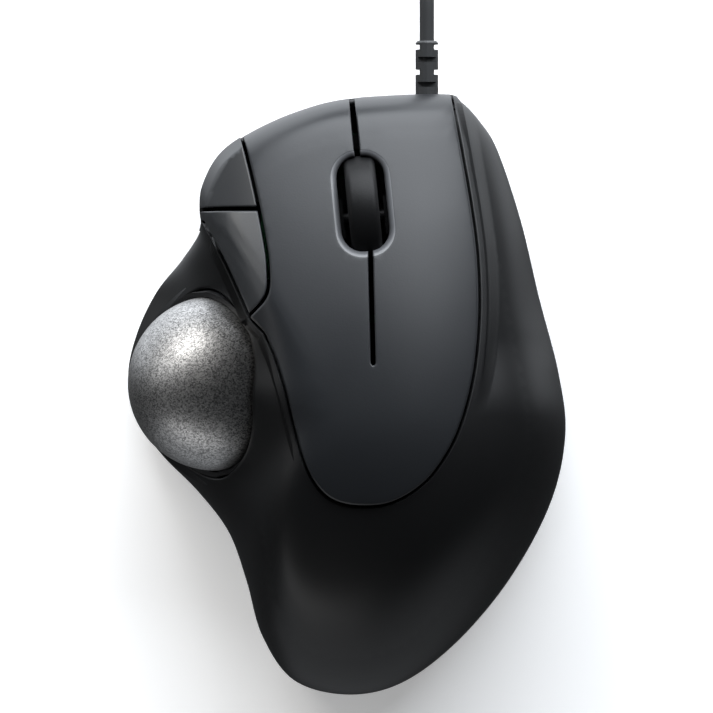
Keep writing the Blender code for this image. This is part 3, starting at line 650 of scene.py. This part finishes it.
def side_wall(levels, top):
    """A band round the outline from a height for each angle down to the base."""
    angles = np.linspace(0.0, 2 * math.pi, RIM_COUNT, endpoint=False)
    made = bmesh.new()
    bmesh.ops.create_circle(made, segments=RIM_COUNT, radius=1.0)
    made.verts.ensure_lookup_table()
    border = rim_loop()
    start = top(border)
    rim = outline_at(angles)[1]
    ring = made.verts[:]
    order = np.argsort([math.atan2(v.co.y, v.co.x) % (2 * math.pi) for v in ring])
    ring = [ring[k] for k in order]
    edges = made.edges[:]
    for k, vert in enumerate(ring):
        vert.co = (border[k, 0], border[k, 1], start[k])
    for share in levels:
        grown = bmesh.ops.extrude_edge_only(made, edges=edges)
        fresh = [v for v in grown["geom"] if isinstance(v, bmesh.types.BMVert)]
        new_edges = [e for e in grown["geom"] if isinstance(e, bmesh.types.BMEdge)]
        edges = [e for e in new_edges if all(v in fresh for v in e.verts)]
        inner = rim_loop(TUCK * share**1.4)
        for vert in fresh:
            angle = math.atan2(vert.co.y - HUB[1], vert.co.x - HUB[0]) % (2 * math.pi)
            k = int(round(angle / (2 * math.pi) * RIM_COUNT)) % RIM_COUNT
            from_rim = rim[k] + (SEAM_Z - rim[k]) * share
            from_top = start[k] + (SEAM_Z - start[k]) * share
            vert.co = (inner[k, 0], inner[k, 1], min(from_top, max(from_rim, SEAM_Z)))
    return made


def wall_top(border):
    """The case stops lower under the keys and the side buttons."""
    rim = outline_at(np.arctan2(border[:, 1] - HUB[1], border[:, 0] - HUB[0]))[1]
    beside_buttons = inside(border, side_loop(-BUTTON_GAP))
    covered = inside(border, plate_loop(-GAP / 2)) | beside_buttons
    under_buttons = beside_buttons & (border[:, 1] > BUTTON_SHELF_Y)
    under_keys = np.where(covered, np.minimum(rim, KEY_SHELF_Z), rim)
    return np.where(under_buttons, BUTTON_SHELF_Z, under_keys)


case_mesh = sheet(
    case_ground,
    [
        (plate_loop(-GAP / 2)[::-1], 0.45),
        (side_loop(-BUTTON_GAP)[::-1], 0.4),
        (socket[::-1], 0.6),
    ],
    PANEL_SPACING,
    cuts=[edge_right[edge_right[:, 1] > -6.0] + [away, 0.0] for away in STEP_LINES],
)
wall = side_wall(WALL_SHARES, wall_top)
wall_data = bpy.data.meshes.new("wall")
wall.to_mesh(wall_data)
wall.free()
case_mesh.from_mesh(wall_data)
bpy.data.meshes.remove(wall_data)
bmesh.ops.remove_doubles(case_mesh, verts=case_mesh.verts, dist=0.02)
bmesh.ops.recalc_face_normals(case_mesh, faces=case_mesh.faces)
up = [f for f in case_mesh.faces if abs(f.normal.z) > 0.5]
if sum(f.normal.z for f in up) < 0:
    bmesh.ops.reverse_faces(case_mesh, faces=case_mesh.faces)
case = link_mesh("palm_case", case_mesh)
shade_by_shape(case, shell_height)
thick = case.modifiers.new("wall", "SOLIDIFY")
thick.thickness = CASE_WALL * MM
thick.offset = -1.0
case.data.materials.append(satin_black)
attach(case, "case")
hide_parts("upper_case")
print("case faces:", len(case.data.polygons))

# %% [markdown]
# ## The grey key plate
# The two keys and the plate behind them are one moulding. It is made here as a
# left and a right half that meet without a line behind the slit.

# %% Key plate halves
plate_grey = moulded("satin grey keys", (0.012, 0.0132, 0.0152), 0.39, grain=0.000012, specular=0.38)
# The paler grey of the slot's bevel is a painted highlight: it stands in for the light that the bevel
# catches.
slot_rim_painted_highlight = moulded("slot rim grey with painted highlight", (0.085, 0.087, 0.092), 0.36, grain=0.000006)
DIVIDE = [(0.5, 72.0), NOTCH[0], NOTCH[1], SLIT[0], SLIT[1], (5.4, -40.0)]
PLATE_WALL = 1.9
SLOT_BEVEL = 1.5
# Width of the band round the slot that gets the painted highlight.
PAINTED_HIGHLIGHT_BAND = 1.18


def left_of_divide(points):
    line = np.array(DIVIDE)[::-1]
    return points[:, 0] < np.interp(points[:, 1], line[:, 1], line[:, 0])


def plate_height(x, y):
    return shell_height(x, y) + PLATE_RAISE


def plate_half(name, left):
    def ground(points):
        good = inside(points, plate_loop(GAP / 2)) & ~inside(points, slot_loop())
        good &= ~inside(points, notch_loop) & ~inside(points, slit_loop)
        return good & (left_of_divide(points) == left)

    made = sheet(
        ground,
        [
            (plate_loop(GAP / 2), 0.5),
            (slot_loop()[::-1], SLOT_BEVEL),
            (notch_loop[::-1], 0.35),
            (slit_loop[::-1], 0.35),
        ],
        PANEL_SPACING,
        cuts=[DIVIDE],
        height=plate_height,
    )
    obj = link_mesh(name, thickened(made, PLATE_WALL))
    shade_by_shape(obj, plate_height)
    obj.data.materials.append(plate_grey)
    obj.data.materials.append(slot_rim_painted_highlight)
    # Upward faces in the band round the slot take the paler grey, a painted highlight on the bevel.
    middles = np.array([face.center[:] for face in obj.data.polygons]) / MM
    painted_highlight_faces = distance(middles[:, :2], slot_loop()) < PAINTED_HIGHLIGHT_BAND
    upward = np.array([face.normal.z for face in obj.data.polygons]) > 0.15
    obj.data.polygons.foreach_set("material_index", (painted_highlight_faces & upward).astype(np.int32))
    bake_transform(obj)
    print(name, "faces:", len(obj.data.polygons))
    return obj


left_plate = plate_half("left_key_plate", True)
right_plate = plate_half("right_key_plate", False)
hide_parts("left_key")
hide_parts("right_key", "top_cover")

# %% [markdown]
# ## Side buttons
# Two buttons lie on the left shoulder. The front one has a nearly flat face with a
# steep bright chamfer round its outer side, and a skirt that closes the side of the
# shell below it. The rear one follows the shell and stands a little proud of it.

# %% Side buttons
button_grey = moulded("satin grey side buttons", (0.018, 0.0195, 0.0215), 0.38, grain=0.00001, specular=0.36)
SHOULDER_LINE = catmull((BUTTON_TIP,) + PLATE_SHOULDER, 8)[8:]
FORWARD_RAISE = 0.7
FORWARD_SLOPE, FORWARD_CURVE = 0.5, 0.03
CHAMFER_WIDTH, CHAMFER_SLOPE = 2.1, 1.9
RIM_LEAN = 0.93
BACK_RAISE = 0.5
SKIRT_Z, SKIRT_WALL, BUTTON_WALL = 17.0, 0.9, 2.2
BUTTON_INSET = 0.45
BUTTON_SPACING = 0.8


def from_shoulder(x, y):
    """How far a point lies to the left of the plate's shoulder."""
    points = np.stack([np.ravel(x), np.ravel(y)], axis=1)
    edge = np.interp(points[:, 1], SHOULDER_LINE[:, 1], SHOULDER_LINE[:, 0])
    return np.maximum(edge - points[:, 0], 0.0).reshape(np.shape(x))


def forward_height(x, y):
    """A nearly flat face that ends in a crease, and a steep chamfer outside it."""
    away = from_shoulder(x, y)
    face = crown_height(x, y) + FORWARD_RAISE - FORWARD_SLOPE * away - FORWARD_CURVE * away**2
    inset = rim_inset(x, y) * RIM_LEAN
    return face - CHAMFER_SLOPE * np.maximum(CHAMFER_WIDTH - inset, 0.0)


def back_height(x, y):
    return shell_height(x, y) + BACK_RAISE


def add_skirt(made):
    """Draws the part of the border that lies on the rim straight down."""
    outer = [
        e for e in made.edges
        if e.is_boundary and all(abs(float(rim_inset(v.co.x, v.co.y))) < 0.02 for v in e.verts)
    ]
    skirt = bmesh.ops.extrude_edge_only(made, edges=outer)
    for vert in (v for v in skirt["geom"] if isinstance(v, bmesh.types.BMVert)):
        vert.co.z = SKIRT_Z


def side_button(name, low_y, high_y, height, node):
    loop = side_loop(BUTTON_INSET)

    def ground(points):
        return inside(points, loop) & (points[:, 1] > low_y) & (points[:, 1] < high_y)

    far = [(-40.0, low_y), (-10.0, low_y), (-10.0, high_y), (-40.0, high_y)]
    seams = [(loop, 0.4), (anticlockwise(even(far, 0.6)), 0.4)]
    made = sheet(ground, seams, BUTTON_SPACING, height=height)
    if node == "forward_button":
        add_skirt(made)
        obj = link_mesh(name, made, 28.0)
        wall = obj.modifiers.new("wall", "SOLIDIFY")
        wall.thickness = SKIRT_WALL * MM
        wall.offset = -1.0
    else:
        obj = link_mesh(name, thickened(made, BUTTON_WALL), 28.0)
    shade_by_shape(obj, height)
    obj.data.materials.append(button_grey)
    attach(obj, node)
    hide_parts(node)
    print(name, "faces:", len(obj.data.polygons))
    return obj


forward_button = side_button(
    "forward_side_button", SIDE_GAP_Y + BUTTON_INSET, 62.0, forward_height, "forward_button"
)
back_button = side_button(
    "back_side_button", 10.0, SIDE_GAP_Y - BUTTON_INSET, back_height, "back_button"
)

# %% [markdown]
# ## The ball
# A resin ball full of fine metal flakes. Each cell of a very fine Voronoi pattern is
# one flake, with its own brightness and its own height in the bump, which scatters
# the shine into grains. A noise texture would look cloudy instead. A subdivided
# icosphere has no poles to pinch the reflections.

# %% Ball
FLAKE_SCALE = 4200.0
ball_finish, tree, shader = new_material("speckled silver resin", (0.4, 0.4, 0.4), 0.42, metallic=1.0)
place = tree.nodes.new("ShaderNodeTexCoord")
flakes = add_node(tree, "ShaderNodeTexVoronoi", Scale=FLAKE_SCALE)
flake_tone = tree.nodes.new("ShaderNodeSeparateColor")
ramp = tree.nodes.new("ShaderNodeValToRGB")
ramp.color_ramp.elements[0].color = (0.12, 0.12, 0.121, 1)
ramp.color_ramp.elements[1].color = (0.52, 0.517, 0.513, 1)
middle_stop = ramp.color_ramp.elements.new(0.5)
middle_stop.color = (0.32, 0.319, 0.318, 1)
facets = add_node(tree, "ShaderNodeBump", Strength=0.4, Distance=0.00004)
tree.links.new(place.outputs["Object"], flakes.inputs["Vector"])
tree.links.new(flakes.outputs["Color"], flake_tone.inputs["Color"])
tree.links.new(flake_tone.outputs["Red"], ramp.inputs["Fac"])
tree.links.new(ramp.outputs["Color"], shader.inputs["Base Color"])
tree.links.new(flake_tone.outputs["Blue"], facets.inputs["Height"])
tree.links.new(facets.outputs["Normal"], shader.inputs["Normal"])

ball_mesh = bmesh.new()
bmesh.ops.create_icosphere(ball_mesh, subdivisions=6, radius=BALL_RADIUS)
bmesh.ops.translate(ball_mesh, verts=ball_mesh.verts, vec=BALL_CENTRE)
ball = link_mesh("thumb_ball", ball_mesh, 180.0)
ball.data.materials.append(ball_finish)
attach(ball, "ball")
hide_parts("ball")
print("ball faces:", len(ball.data.polygons))

# %% [markdown]
# ## Scroll wheel
# The tyre is soft rubber with two rounded shoulders, turned round the axle. Turning
# a half profile with a spin keeps every ring even.

# %% Scroll wheel
tyre_rubber = moulded(
    "black wheel rubber", (0.005, 0.005, 0.0053), 0.46, grain=0.00002, spread=0.04, specular=0.16
)
WHEEL_RADIUS = 12.5
WHEEL_BACK = 2.6
WHEEL_Z = 30.0
TYRE_HALF_WIDTH = 3.2
TYRE_SHOULDER = 1.3
TYRE_INNER_RADIUS = 10.2
roll_dir = Vector((-math.sin(SLOT_LEAN), math.cos(SLOT_LEAN), 0.0))
axle_dir = Vector((math.cos(SLOT_LEAN), math.sin(SLOT_LEAN), 0.0))
wheel_centre = Vector((SLOT_CENTRE[0], SLOT_CENTRE[1], WHEEL_Z)) - roll_dir * WHEEL_BACK


def turned(profile, centre, axis, steps):
    """A closed ring or solid from (radius, height) points, spun round an axis."""
    made = bmesh.new()
    verts = [made.verts.new((r, 0.0, h)) for r, h in profile]
    edges = [made.edges.new(pair) for pair in zip(verts, verts[1:])]
    if profile[0][0] > 0:
        edges.append(made.edges.new((verts[-1], verts[0])))
    bmesh.ops.spin(
        made, geom=verts + edges, cent=(0, 0, 0), axis=(0, 0, 1),
        angle=2 * math.pi, steps=steps, use_merge=True,
    )
    bmesh.ops.remove_doubles(made, verts=made.verts, dist=1e-4)
    turn = Vector((0, 0, 1)).rotation_difference(Vector(axis).normalized()).to_matrix().to_4x4()
    bmesh.ops.transform(made, matrix=Matrix.Translation(Vector(centre)) @ turn, verts=made.verts)
    bmesh.ops.recalc_face_normals(made, faces=made.faces)
    return made


shoulder = [
    (
        WHEEL_RADIUS - TYRE_SHOULDER * (1 - math.cos(a)) - 0.15,
        TYRE_HALF_WIDTH - TYRE_SHOULDER + TYRE_SHOULDER * math.sin(a),
    )
    for a in np.radians(np.arange(0, 91, 15))
]
crown_line = [(WHEEL_RADIUS, 0.0), (WHEEL_RADIUS - 0.03, 1.0)]
upper = crown_line + shoulder + [(TYRE_INNER_RADIUS, TYRE_HALF_WIDTH)]
profile = [(r, -h) for r, h in upper[:0:-1]] + upper
tyre = link_mesh("wheel_rubber", turned(profile, wheel_centre, axle_dir, 96))
tyre.data.materials.append(tyre_rubber)
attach(tyre, "wheel")
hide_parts("wheel_tyre")
print("tyre faces:", len(tyre.data.polygons))

# %% [markdown]
# ## Cord
# The cord is 3 mm thick and 1.5 m long. It leaves the boot straight, comes down to
# the table, and the rest is wound beside the view into a neat coil of four layers.
# One curve carries the whole route, so its length is the length of the real cord.

# %% Cord
CORD_X, CORD_Z, BOOT_END = 16.6, 9.5, 73.5
COIL_CENTRE = (-5.05, 126.0)
OUTER_TURN, INNER_TURN = 21.65, 12.35
LAYERS = (2.4, 5.45, 8.5, 11.55)
TURNS_IN_LAYER, PER_TURN = 3, 20
PLUG_Y, PLUG_Z = 24.75, 4.3
CORD_LENGTH, CORD_THICKNESS = 1.5, 0.003
LYING_Z, COIL_RISE = 1.6, 0.4
cord_rubber = moulded("dark grey cord jacket", (0.030, 0.031, 0.032), 0.5, grain=0.00002)

route = []
for y in np.linspace(BOOT_END - 8.0, COIL_CENTRE[1] - 2.0, 28):
    drop = float(smoothstep(y, 81.0, 103.0))
    rise = COIL_RISE * float(smoothstep(y, 108.0, 126.0))
    route.append((CORD_X, y, CORD_Z + (LYING_Z - CORD_Z) * drop + rise))
plan = []
for layer, z in enumerate(LAYERS):
    outward = layer % 2 == 1
    for k in range(TURNS_IN_LAYER * PER_TURN):
        share = k / (TURNS_IN_LAYER * PER_TURN)
        r = INNER_TURN + (OUTER_TURN - INNER_TURN) * (share if outward else 1 - share)
        lift = 2.0 + COIL_RISE * min(k / 6, 1.0) if layer == 0 else z
        plan.append((r, lift))
    if layer < 3:
        r = OUTER_TURN if outward else INNER_TURN
        for k in range(PER_TURN // 4):
            plan.append((r, z + (LAYERS[layer + 1] - z) * float(smoothstep(k, 0, PER_TURN // 4))))
for k in range(PER_TURN // 2 + 1):
    share = k / (PER_TURN // 2)
    plan.append((
        OUTER_TURN + (PLUG_Y - OUTER_TURN) * float(smoothstep(share, 0.0, 0.55)),
        LAYERS[3] + (PLUG_Z - LAYERS[3]) * float(smoothstep(share, 0.15, 1.0)),
    ))
for k, (r, z) in enumerate(plan):
    angle = 2 * math.pi * k / PER_TURN
    route.append((COIL_CENTRE[0] + r * math.cos(angle), COIL_CENTRE[1] + r * math.sin(angle), z))
for x in (-9.0, -12.0, -14.6):
    route.append((x, COIL_CENTRE[1] + PLUG_Y, PLUG_Z))
centre_line = catmull(route, 2)
cord_curve = bpy.data.curves.new("cord", "CURVE")
cord_curve.dimensions = "3D"
cord_curve.bevel_depth = CORD_THICKNESS / 2
cord_curve.bevel_resolution = 4
cord_curve.use_fill_caps = True
spline = cord_curve.splines.new("POLY")
spline.points.add(len(centre_line) - 1)
for spot, point in zip(spline.points, centre_line):
    spot.co = (*(point * MM), 1.0)
spline.use_smooth = True
cord_curve.materials.append(cord_rubber)
cord = bpy.data.objects.new("cord_jacket", cord_curve)
bpy.context.scene.collection.objects.link(cord)
cord_length = float(np.sum(np.linalg.norm(np.diff(centre_line, axis=0), axis=1))) * MM
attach(cord, "case")
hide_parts("cord", "cord_coil")
print("cord length:", round(cord_length, 3), "m in", len(centre_line), "points")

# %% [markdown]
# ## Pieces that keep their own shape
# The boot, the plug, the base, the feet and everything inside already have their
# right shape in the solid model. Each keeps its mesh and only gets its finish:
# rubber, steel, circuit board, moulded plastic or glass.

# %% Finishes for the other pieces
boot_rubber = moulded("dark grey boot", (0.030, 0.031, 0.032), 0.48, grain=0.00002)
foot_plastic = moulded("slick dark feet", (0.02, 0.02, 0.021), 0.3, grain=0.00001)
base_plastic = moulded("matt black base", (0.014, 0.014, 0.015), 0.5, grain=0.00003)
# This dark plastic also serves as painted shade on the cord connector under the notch.
inner_plastic_and_notch_shade = moulded("dark inner plastic and painted notch shade", (0.008, 0.008, 0.0085), 0.5, specular=0.2)
white_plastic = moulded("white bearing plastic", (0.72, 0.72, 0.70), 0.35, grain=0.00001)
wheel_hub_plastic = moulded("dark hub plastic", (0.02, 0.02, 0.021), 0.4)
grip_rubber = moulded("black plug grip", (0.016, 0.016, 0.017), 0.45, grain=0.00003)
tie_wire = moulded("black tie", (0.012, 0.012, 0.012), 0.5)
switch_case = moulded("black switch case", (0.012, 0.012, 0.013), 0.45)
chip_resin = moulded("black chip resin", (0.012, 0.012, 0.013), 0.55)
cup_plastic = moulded("black ball cup", (0.008, 0.008, 0.0085), 0.4)


def brushed(name, colour, roughness, scratch):
    """Bright metal with fine streaks along X."""
    made, tree, shader = new_material(name, colour, roughness, metallic=1.0)
    place = tree.nodes.new("ShaderNodeTexCoord")
    stretch = add_node(tree, "ShaderNodeMapping", Scale=(60.0, 2200.0, 2200.0))
    streaks = add_node(tree, "ShaderNodeTexNoise", Scale=1.0, Detail=3.0)
    tree.links.new(place.outputs["Object"], stretch.inputs["Vector"])
    tree.links.new(stretch.outputs["Vector"], streaks.inputs["Vector"])
    vary_roughness(tree, shader, streaks, roughness, scratch)
    return made


plated_steel = brushed("nickel plated steel", (0.66, 0.66, 0.65), 0.26, 0.08)
screw_steel = brushed("dark zinc screws", (0.35, 0.35, 0.36), 0.35, 0.08)

board_green, tree, shader = new_material("green circuit board", (0.006, 0.03, 0.013), 0.5)
place = tree.nodes.new("ShaderNodeTexCoord")
tracks = add_node(tree, "ShaderNodeTexBrick", Scale=260.0)
tracks.inputs["Color1"].default_value = (0.016, 0.085, 0.035, 1)
tracks.inputs["Color2"].default_value = (0.02, 0.10, 0.045, 1)
tracks.inputs["Mortar"].default_value = (0.03, 0.15, 0.06, 1)
tree.links.new(place.outputs["Object"], tracks.inputs["Vector"])
tree.links.new(tracks.outputs["Color"], shader.inputs["Base Color"])

lens_clear, tree, shader = new_material("clear lens", (0.75, 0.78, 0.80), 0.12)
shader.inputs["Transmission Weight"].default_value = 0.9
place = tree.nodes.new("ShaderNodeTexCoord")
smudge = add_node(tree, "ShaderNodeTexNoise", Scale=300.0)
tree.links.new(place.outputs["Object"], smudge.inputs["Vector"])
vary_roughness(tree, shader, smudge, 0.13, 0.05)

print("finishes so far:", len(bpy.data.materials))

# %% [markdown]
# ## Which piece gets which finish
# A table names the finish of each single piece, and a loop adds the repeated ones:
# feet, screws, support beads and switches. Setting the material on the slot keeps the
# mesh of the piece as it came.

# %% Finish for each piece
FINISHES = {
    "strain_relief": boot_rubber,
    "base_plate": base_plastic,
    "ball_cup": cup_plastic,
    "coil_tie": tie_wire,
    "usb_grip": grip_rubber,
    "usb_shell": plated_steel,
    "usb_tongue": white_plastic,
    "wheel_axle": inner_plastic_and_notch_shade,
    "wheel_hub": wheel_hub_plastic,
    "wheel_carrier": inner_plastic_and_notch_shade,
    "wheel_encoder": switch_case,
    "key_board": board_green,
    "side_board": board_green,
    "sensor_board": board_green,
    "sensor_lens": lens_clear,
    "sensor_chip": chip_resin,
    "controller_chip": chip_resin,
    # The connector takes the dark plastic as painted shade, so that the notch above it looks dark.
    "cord_connector": inner_plastic_and_notch_shade,
    "left_plunger": inner_plastic_and_notch_shade,
    "right_plunger": inner_plastic_and_notch_shade,
}
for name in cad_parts:
    if name.startswith("foot_"):
        FINISHES[name] = foot_plastic
    elif name.startswith("screw_"):
        FINISHES[name] = screw_steel
    elif name.startswith("support_bead"):
        FINISHES[name] = white_plastic
    elif name.endswith("_switch"):
        FINISHES[name] = switch_case
for name, finish in FINISHES.items():
    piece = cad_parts[name]
    if not piece.material_slots:
        piece.data.materials.append(finish)
    for holder in piece.material_slots:
        holder.material = finish
left_over = [n for n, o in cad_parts.items() if not o.hide_render and n not in FINISHES]
print("nodes with no finish yet:", left_over)

# %% [markdown]
# ## Floor and light
# A pale table top glows a little, so that shadows stay faint. A big soft light stands
# low beyond the nose, a second one beyond the thumb, and two weak ones at the far left
# and behind the tail. A real set stands black cards round the tail, so that the sides
# of the mouse reflect a bright table towards the nose and a dark one behind. The table
# is left out of the glossy rays here, and the room below the horizon makes that bounce.
# On a real set, small black flags would keep a light off a piece. Light linking does it
# here: the nose light leaves out the ball, and the thumb light reaches only the ball,
# the two side buttons and the table.

# %% Floor and light
floor_white, tree, shader = new_material("white table", (0.93, 0.93, 0.93), 0.6, specular=0.2)
shader.inputs["Emission Color"].default_value = (1.0, 1.0, 1.0, 1.0)
shader.inputs["Emission Strength"].default_value = 0.3
place = tree.nodes.new("ShaderNodeTexCoord")
cloud = add_node(tree, "ShaderNodeTexNoise", Scale=30.0)
tree.links.new(place.outputs["Object"], cloud.inputs["Vector"])
vary_roughness(tree, shader, cloud, 0.6, 0.05)
floor_mesh = bmesh.new()
bmesh.ops.create_grid(floor_mesh, x_segments=8, y_segments=8, size=3000.0)
floor = link_mesh("table_top", floor_mesh)
floor.data.materials.append(floor_white)
floor.visible_glossy = False


def softbox(name, place, aim, width, depth, power, colour=(1.0, 1.0, 1.0)):
    """A rectangular light in millimetres that looks at a point."""
    data = bpy.data.lights.new(name, "AREA")
    data.shape = "RECTANGLE"
    data.size = width * MM
    data.size_y = depth * MM
    data.energy = power
    data.color = colour
    obj = bpy.data.objects.new(name, data)
    obj.location = Vector(place) * MM
    toward = (Vector(aim) - Vector(place)).normalized()
    obj.rotation_euler = toward.to_track_quat("-Z", "Y").to_euler()
    bpy.context.scene.collection.objects.link(obj)
    return obj


DAYLIGHT = (0.91, 0.95, 1.0)
WARM_WHITE = (1.0, 0.985, 0.96)
nose_light = softbox(
    "nose_softbox", (180.0, 860.0, 390.0), (0.0, 0.0, 20.0), 1250.0, 860.0, 29.0, DAYLIGHT
)
flagged = bpy.data.collections.new("kept out of the nose light")
flagged.objects.link(ball)
nose_light.light_linking.receiver_collection = flagged
flagged.collection_objects[0].light_linking.link_state = "EXCLUDE"
thumb_light = softbox(
    "thumb_softbox", (-500.0, 700.0, 420.0), (-27.0, 0.0, 20.0), 640.0, 480.0, 7.0, WARM_WHITE
)
lit_by_thumb_light = bpy.data.collections.new("lit by the thumb light")
for receiver in (ball, floor, forward_button, back_button):
    lit_by_thumb_light.objects.link(receiver)
thumb_light.light_linking.receiver_collection = lit_by_thumb_light
softbox("left_softbox", (-820.0, 280.0, 260.0), (-20.0, 0.0, 20.0), 380.0, 380.0, 1.0)
softbox("tail_softbox", (-380.0, -860.0, 190.0), (0.0, 0.0, 20.0), 900.0, 280.0, 1.6)
bpy.context.scene.view_settings.view_transform = "Standard"

# %% [markdown]
# ## The room
# The room is a glow that depends only on direction: bright below the horizon towards
# the nose and its two sides, dark behind, and faint overhead. A plain colour all round
# would light the sides of the mouse evenly and hide their shape.

# %% Room
world = bpy.data.worlds.new("pale room")
bpy.context.scene.world = world
world.use_nodes = True
background = world.node_tree.nodes["Background"]
background.inputs["Color"].default_value = (*DAYLIGHT, 1.0)


def ramp_of(source, start, end, low, high):
    """A smooth step of one number between two values."""
    span = world.node_tree.nodes.new("ShaderNodeMapRange")
    span.interpolation_type = "SMOOTHSTEP"
    for socket_name, value in zip(("From Min", "From Max", "To Min", "To Max"), (start, end, low, high)):
        span.inputs[socket_name].default_value = value
    world.node_tree.links.new(source, span.inputs["Value"])
    return span.outputs["Result"]


def combined(operation, first, second):
    """Two numbers added or multiplied."""
    node = add_node(world.node_tree, "ShaderNodeMath", operation=operation)
    world.node_tree.links.new(first, node.inputs[0])
    world.node_tree.links.new(second, node.inputs[1])
    return node.outputs["Value"]


way = world.node_tree.nodes.new("ShaderNodeTexCoord")
split = world.node_tree.nodes.new("ShaderNodeSeparateXYZ")
world.node_tree.links.new(way.outputs["Generated"], split.inputs["Vector"])
forward, upward = split.outputs["Y"], split.outputs["Z"]
low_down = ramp_of(upward, -0.5, 0.05, 1.0, 0.0)
sides_glow = combined("MULTIPLY", ramp_of(forward, 0.06, 0.36, 0.0, 1.75), low_down)
nose_or_tail = combined("ADD", ramp_of(forward, 0.5, 0.95, 0.0, 1.5), ramp_of(forward, -0.8, -0.4, 0.45, 0.0))
at_horizon = ramp_of(upward, -0.02, 0.12, 1.0, 0.0)
ends_glow = combined("MULTIPLY", nose_or_tail, at_horizon)
steady = ramp_of(upward, -1.0, 1.0, 0.05, 0.06)
strength = combined("ADD", combined("ADD", sides_glow, ends_glow), steady)
world.node_tree.links.new(strength, background.inputs["Strength"])
print("nodes that make the room:", len(world.node_tree.nodes))
